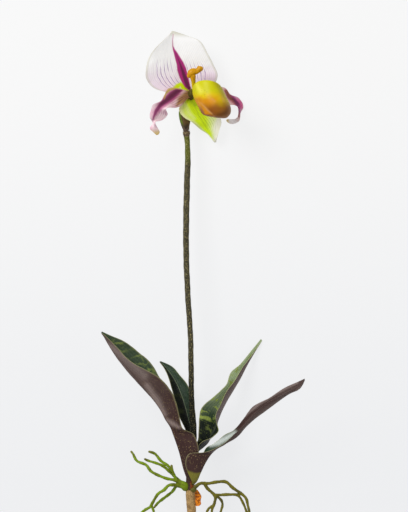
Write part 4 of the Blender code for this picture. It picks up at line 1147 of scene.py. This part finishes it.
def fuse(bm, grain, softness):
    """Fuses overlapping closed forms into one skin and smooths it; returns a new bmesh."""
    mesh = bpy.data.meshes.new("raw")
    bm.to_mesh(mesh)
    bm.free()
    raw = bpy.data.objects.new("raw", mesh)
    bpy.context.scene.collection.objects.link(raw)
    cells = raw.modifiers.new("cells", "REMESH")
    cells.mode = "VOXEL"
    cells.voxel_size = grain
    soft = raw.modifiers.new("soft", "SMOOTH")
    soft.factor = 0.5
    soft.iterations = softness
    bpy.context.view_layer.update()
    fused = bpy.data.meshes.new_from_object(raw.evaluated_get(bpy.context.evaluated_depsgraph_get()))
    bpy.data.objects.remove(raw)
    made = bmesh.new()
    made.from_mesh(fused)
    bpy.data.meshes.remove(fused)
    return made


def repaint(bm, painter):
    """Paints a skin by its points' places in the plant's frame, in millimetres."""
    points = np.array([v.co - PLACE for v in bm.verts]) / MM
    layer = bm.verts.layers.float_color.new("front")
    colour, strength = painter(points)
    for i, v in enumerate(bm.verts):
        v[layer] = (*colour[i], strength[i])


def join(parts):
    """Puts several bmeshes into one."""
    whole = bmesh.new()
    for part in parts:
        mesh = bpy.data.meshes.new("part")
        part.to_mesh(mesh)
        part.free()
        whole.from_mesh(mesh)
        bpy.data.meshes.remove(mesh)
    return whole


def bare_tube(axis, rows, sides, swell=None):
    """An unpainted tube with round ends."""
    bm, points = rolled(axis, rows, sides, swell, (True, True))
    lay(bm, points, {})
    close(bm)
    return bm


def bare_ball(middle, halves):
    """An unpainted ball with its half sizes."""
    bm = bmesh.new()
    bmesh.ops.create_uvsphere(bm, u_segments=32, v_segments=20, radius=1)
    bm.transform(Matrix.LocRotScale(Vector(middle) * MM + PLACE, None, Vector(halves) * MM))
    return bm


def root_bunch(name, knot, middle, roots, look, main, shade, tip_reach, seed):
    """Knobbly roots fused with the knot that they grow from; middle is where the knot is in shade."""
    dice = random.Random(seed)
    parts = [knot]
    ends = []
    for axis in roots:
        beat, lag = dice.uniform(0.55, 0.9), dice.uniform(0, 6)

        def knobbly(around, run, beat=beat, lag=lag):
            return 1 + 0.09 * np.sin(run * beat + lag) + 0.06 * np.sin(run * 1.9 + 2 * lag + around)
        thick = [(x, y, z, r * ROOT_PLUMP) for x, y, z, r in axis]
        parts.append(bare_tube(thick, 12 * (len(axis) - 1), 14, knobbly))
        ends.append(axis[-1][:3])
    bm = fuse(join(parts), look.grain, 4)

    def painter(points):
        near = np.min([np.linalg.norm(points - end, axis=1) for end in ends], axis=0)
        colour = coat(flat(main, len(points)), look.tip, ease(near, tip_reach, 0.0) * 0.7)
        # painted shade round the knot's middle, then darker patches at random
        dim = ease(np.linalg.norm(points - middle, axis=1), 9.0, 2.0) * 0.5
        dim += ease(uneven(points, 8.0, seed), 0.0, 0.5) * 0.6
        return coat(colour, shade, dim), np.ones(len(points))
    repaint(bm, painter)
    piece(name, bm, [root_finish(f"{name}_skin", shade, look.tip)])


def fur(axis, count, hair, seed):
    """Short tapering hairs standing out of a stalk, one slim cone each; the tufts keep each bmesh small."""
    dice = random.Random(seed)
    shares = np.array([dice.random() for _ in range(count)])
    line = between(axis, shares)
    ahead = between(axis, shares + AHEAD_FUR)[:, :3] - between(axis, shares - AHEAD_FUR)[:, :3]
    tufts = [bmesh.new() for _ in range(count // TUFT + 1)]
    for i, (spot, way) in enumerate(zip(line, ahead)):
        way = Vector(way).normalized()
        out = way.orthogonal().normalized()
        out.rotate(Matrix.Rotation(dice.uniform(0, 2 * math.pi), 3, way))
        lean = (out + way * dice.uniform(*HAIR_LEAN)).normalized()
        tall = hair * dice.uniform(*HAIR_SHARE)
        middle = Vector(spot[:3] * MM) + PLACE + out * (spot[3] * HAIR_DEPTH * MM) + lean * tall / 2
        place = Matrix.LocRotScale(middle, lean.to_track_quat("Z", "Y"), None)
        bmesh.ops.create_cone(tufts[i // TUFT], cap_ends=True, segments=3, radius1=HAIR_FOOT,
                              radius2=HAIR_TIP, depth=tall, matrix=place)
    return join(tufts)


class ORCHID_OT_sepals(bpy.types.Operator):
    """White dorsal sepal with its purple wedge, and the lime synsepal"""
    bl_idname = "orchid.sepals"
    bl_label = "Sepals"

    def execute(self, context):
        look = context.scene.orchid_flower
        # sides: which painted layer shows on the grid's own front and back
        for name, painter, vein, count, sides in (
                ("dorsal_sepal", paint_dorsal(look), look.vein, 9, ("front", "back")),
                ("synsepal", paint_synsepal(look), look.lime_vein, 8, ("back", "front"))):
            blade(name, look.petal_thickness, look.petal_rim, painter,
                  [petal_finish(f"{name}_{side}", side, vein, count, 0.17) for side in sides])
        return {"FINISHED"}


class ORCHID_OT_petals(bpy.types.Operator):
    """The two waved petals with their maroon bands"""
    bl_idname = "orchid.petals"
    bl_label = "Petals"

    def execute(self, context):
        look = context.scene.orchid_flower
        left = paint_petal(look, BAND_LEFT, GLOW_LEFT, OLIVE_LEFT, (0.8, 0.93), rim=RIM_LEFT)
        right = paint_petal(look, BAND_RIGHT, GLOW_RIGHT, OLIVE_RIGHT, (0.85, 0.95), crimson=CRIMSON_RIGHT,
                            pale=0.7)
        for name, painter, sides in (("petal_left", left, ("back", "front")),
                                     ("petal_right", right, ("front", "back"))):
            blade(name, look.petal_thickness, look.petal_rim, painter,
                  [petal_finish(f"{name}_{side}", side, look.maroon, 6, 0.4, 0.8) for side in sides])
        return {"FINISHED"}


class ORCHID_OT_pouch(bpy.types.Operator):
    """The hollow golden slipper"""
    bl_idname = "orchid.pouch"
    bl_label = "Pouch"

    def execute(self, context):
        make_pouch(context.scene.orchid_flower)
        return {"FINISHED"}


class ORCHID_OT_column(bpy.types.Operator):
    """The golden column with its three lobes"""
    bl_idname = "orchid.column"
    bl_label = "Column"

    def execute(self, context):
        look = context.scene.orchid_flower
        bm = fuse(join([bare_tube(COLUMN_FOOT, 60, 24), bare_tube(COLUMN_ARMS, 90, 28)]), COLUMN_GRAIN, 8)

        def painter(points):
            shade = ease(uneven(points, 2.6, 3.0), 0.0, 0.5) * 0.35
            colour = coat(flat(look.column, len(points)), look.column_shade, shade)
            return coat(colour, look.gold, ease(points[:, 1], 412.0, 406.0) * 0.9), np.zeros(len(points))
        repaint(bm, painter)
        piece("column", bm, [shell_finish("column_skin", look)])
        return {"FINISHED"}


class ORCHID_OT_flower_stalk(bpy.types.Operator):
    """The flocked flower stalk with its hairs, the ovary and the bract"""
    bl_idname = "orchid.flower_stalk"
    bl_label = "Flower stalk"

    def execute(self, context):
        look = context.scene.orchid_stalk

        def lumpy(around, run):
            return 1 + 0.035 * np.sin(run * 0.55 + 2 * np.sin(around)) + 0.03 * np.sin(run * 0.21 + around)
        axis = [(x, y, z, r * STALK_PLUMP) for x, y, z, r in SCAPE]
        bm, points = rolled(axis, 620, 28, lumpy, (False, True))
        lay(bm, points, {})
        close(bm)
        bm = join([bm, fur(axis, int(look.hair_count * FURRED), look.hair_length, 5)])

        def painter(points):
            y = points[:, 1]
            top = ease(y + 3 * uneven(points, 4.0), 322.0, 336.0)
            colour = coat(flat(look.middle, len(points)), look.top, top)
            colour = coat(colour, look.low, ease(y, 150.0, 86.0))
            colour = coat(colour, look.knob, ease(y, 352.6, 354.6))
            return colour, ease(y, 50.0, 170.0) * 0.6 + 0.4
        repaint(bm, painter)
        piece("scape", bm, [flocked_finish("flocking", look)])

        def ribbed(around, run):
            return 1 + 0.05 * np.cos(6 * around)
        bm, points = rolled(OVARY, 90, 36, ribbed, (False, True))
        flower = context.scene.orchid_flower
        colour = coat(flat(look.ovary, len(points)), flower.lime, ease(points[:, 2], 24.0, 29.0))
        # darker olive top: partly the ovary's own colour, partly painted shade under the petals' feet
        colour = coat(colour, look.ovary_top, ease(points[:, 1], 386.0, 391.0))
        lay(bm, points, {"front": (colour, np.full(len(points), 0.3))})
        close(bm)
        piece("ovary", bm, [flocked_finish("ovary_skin", look)])

        def painter(across, share, points):
            colour = coat(flat(look.bract_brown, len(across)), look.bract_green, ease(across, -0.25, -0.6))
            colour = coat(colour, look.low, ease(uneven(points, 2.5, 2.0), 0.1, 0.5) * 0.5)
            colour = coat(colour, look.low, ease(points[:, 1], 368.5, 362.0) * 0.8)
            beyond = np.abs(points[:, 0] + 5.2) - 0.75 * (points[:, 1] - 361.2)
            colour = coat(colour, look.knob, ease(beyond, -0.3, 0.5))
            return {"front": (colour, np.full(len(across), 0.8)), "back": (colour, np.full(len(across), 0.5))}
        blade("bract", BRACT_THICK, 0.5, painter,
              [petal_finish(f"bract_{side}", side, look.low, 6) for side in ("front", "back")])
        return {"FINISHED"}


class ORCHID_OT_leaves(bpy.types.Operator):
    """The four leaves: green above, purple-brown below"""
    bl_idname = "orchid.leaves"
    bl_label = "Leaves"

    def execute(self, context):
        look = context.scene.orchid_leaves
        for name, paint in LEAF_PAINT.items():
            finishes = [leaf_upper(f"{name}_upper", look), leaf_under(f"{name}_under", look)]
            if name == "leaf_front_right":   # its grid faces down
                finishes.reverse()
            blade(name, look.thickness, look.rim, paint_leaf(name, look, **paint), finishes)
        return {"FINISHED"}


class ORCHID_OT_lower_stem(bpy.types.Operator):
    """The paper-wrapped lower stem, the dark crown and the scrap of orange paper"""
    bl_idname = "orchid.lower_stem"
    bl_label = "Lower stem"

    def execute(self, context):
        look = context.scene.orchid_stalk

        def wrapped(around, run):
            turn = (run / TAPE_TURN + around / (2 * math.pi)) % 1.0
            return 0.985 + 0.05 * turn - 0.04 * np.exp(-((turn - 1.0) / 0.05) ** 2)
        bm, points = rolled(LOWER_STEM, 200, 72, wrapped)
        points = points + 0.16 * uneven(points, 2.2, 1.0)[:, None] * np.array((0.5, 0.0, 1.0))
        shade = ease(uneven(points, 6.0, 2.0), 0.0, 0.6) * 0.5
        shade = np.maximum(shade, ease(points[:, 1], -1.5, 1.0) * 0.6)
        colour = coat(flat(look.tape, len(points)), look.tape_shade, shade)
        lay(bm, points, {"front": (colour, shade)})
        close(bm)
        piece("lower_stem", bm, [paper_finish("stem_tape", look.tape_shade, 3.4)])

        def ridged(around, run):
            return 1 + 0.03 * np.sin(5 * around + run * 0.2)
        bm, points = rolled(CROWN, 120, 40, ridged)
        aside = np.abs(points[:, 0] - 1.5 + uneven(points, 3.0, 2.0))
        rust = ease(points[:, 1], 11.0, 5.0) * ease(aside, 3.0, 1.6)
        colour = coat(flat(look.crown, len(points)), look.rust, rust)
        lay(bm, points, {"front": (colour, np.full(len(points), 0.3))})
        close(bm)
        piece("crown", bm, [paper_finish("crown_skin", look.low, 5.0)])

        def painter(across, share, points):
            # painted shade in the scrap's creases
            creases = ease(np.abs(uneven(points, 2.6, 9.0)), 0.22, 0.02)
            colour = coat(flat(look.scrap, len(across)), look.scrap_shade, creases * 0.8)
            colour = coat(colour, look.scrap_shade, ease(np.abs(across), 0.85, 1.0) * 0.7)
            return {"front": (colour, creases), "back": (colour, creases)}
        finishes = [paper_finish(f"scrap_{i}", look.scrap_shade, 2.0) for i in (1, 2)]
        blade("paper_scrap", SCRAP_THICK, 1.0, painter, finishes)
        return {"FINISHED"}


class ORCHID_OT_roots(bpy.types.Operator):
    """The two bunches of roots"""
    bl_idname = "orchid.roots"
    bl_label = "Roots"

    def execute(self, context):
        look = context.scene.orchid_roots
        root_bunch("roots_left", bare_tube(CLASP_LEFT, 40, 24), CLASP_LEFT[-2][:3], ROOTS_LEFT, look,
                   look.bright, look.bright_shade, 7.0, 3)
        root_bunch("roots_right", bare_ball(*KNOT_RIGHT), KNOT_RIGHT[0], ROOTS_RIGHT, look, look.dull,
                   look.dull_shade, 3.0, 8)
        return {"FINISHED"}


class ORCHID_OT_stage(bpy.types.Operator):
    """Pale floor, soft studio light and the camera straight above"""
    bl_idname = "orchid.stage"
    bl_label = "Stage"

    def execute(self, context):
        scene = context.scene
        look = scene.orchid_stage
        bm = bmesh.new()
        bmesh.ops.create_grid(bm, x_segments=8, y_segments=8, size=FLOOR_HALF)
        mesh = bpy.data.meshes.new("floor")
        bm.to_mesh(mesh)
        bm.free()
        floor = bpy.data.objects.new("floor", mesh)
        scene.collection.objects.link(floor)
        paper = Finish("floor_paper", Roughness=0.9, Specular_IOR_Level=0.1, Emission_Strength=0.87)
        spot = paper.spot()
        along = paper.other(paper.add("SeparateXYZ", {}, {0: spot}), 1)
        tone = paper.mix(look.floor_near, look.floor, paper.ease(along, *FLOOR_TONES))
        paper.give("Emission Color", tone)
        paper.give("Base Color", paper.shade(tone, 0.11 + 0.01 * paper.noise(spot, 3.0, 3.0)))
        mesh.materials.append(paper.material)

        for name, (place, size) in LAMPS.items():
            data = bpy.data.lights.new(f"{name}_light", "AREA")
            data.shape = "DISK"
            data.size = size
            data.energy = getattr(look, f"{name}_power")
            lamp = bpy.data.objects.new(f"{name}_light", data)
            lamp.location = place
            lamp.rotation_euler = (-Vector(place)).to_track_quat("-Z", "Y").to_euler()
            scene.collection.objects.link(lamp)

        world = bpy.data.worlds.new("studio")
        world.use_nodes = True
        sky = world.node_tree.nodes["Background"].inputs
        sky["Color"].default_value = (1.0, 1.0, 1.0, 1.0)
        sky["Strength"].default_value = look.sky
        scene.world = world

        data = bpy.data.cameras.new("camera")
        data.sensor_width = FILM
        data.lens = FILM * (look.camera_height - FOCUS_HEIGHT) / PHOTO_TALL
        data.clip_end = 50
        camera = bpy.data.objects.new("camera", data)
        camera.location = (CAMERA_X, CAMERA_Y, look.camera_height)
        scene.collection.objects.link(camera)
        scene.camera = camera
        scene.view_settings.view_transform = "Standard"
        return {"FINISHED"}


class ORCHID_PT_panel(bpy.types.Panel):
    """Lists the orchid's pieces"""
    bl_idname = "ORCHID_PT_panel"
    bl_label = "Slipper orchid spray"
    bl_space_type = "VIEW_3D"
    bl_region_type = "UI"
    bl_category = "Orchid"

    def draw(self, context):
        for step in STEPS:
            self.layout.operator(step.bl_idname)
        for name in LOOKS:
            look = getattr(context.scene, name)
            box = self.layout.box()
            for key in look.__annotations__:
                box.prop(look, key)


STEPS = (ORCHID_OT_stage, ORCHID_OT_sepals, ORCHID_OT_petals, ORCHID_OT_pouch, ORCHID_OT_column,
         ORCHID_OT_flower_stalk, ORCHID_OT_leaves, ORCHID_OT_lower_stem, ORCHID_OT_roots)
LOOKS = {"orchid_flower": FlowerLook, "orchid_leaves": LeafLook, "orchid_stalk": StalkLook,
         "orchid_roots": RootLook, "orchid_stage": StageLook}


def register():
    for kind in (*LOOKS.values(), *STEPS, ORCHID_PT_panel):
        bpy.utils.register_class(kind)
    for name, kind in LOOKS.items():
        setattr(bpy.types.Scene, name, PointerProperty(type=kind))


def unregister():
    for name in LOOKS:
        delattr(bpy.types.Scene, name)
    for kind in reversed((*LOOKS.values(), *STEPS, ORCHID_PT_panel)):
        bpy.utils.unregister_class(kind)


def main():
    register()
    for step in STEPS:
        group, name = step.bl_idname.split(".")
        getattr(getattr(bpy.ops, group), name)()
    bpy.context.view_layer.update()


if __name__ == "__main__":
    main()
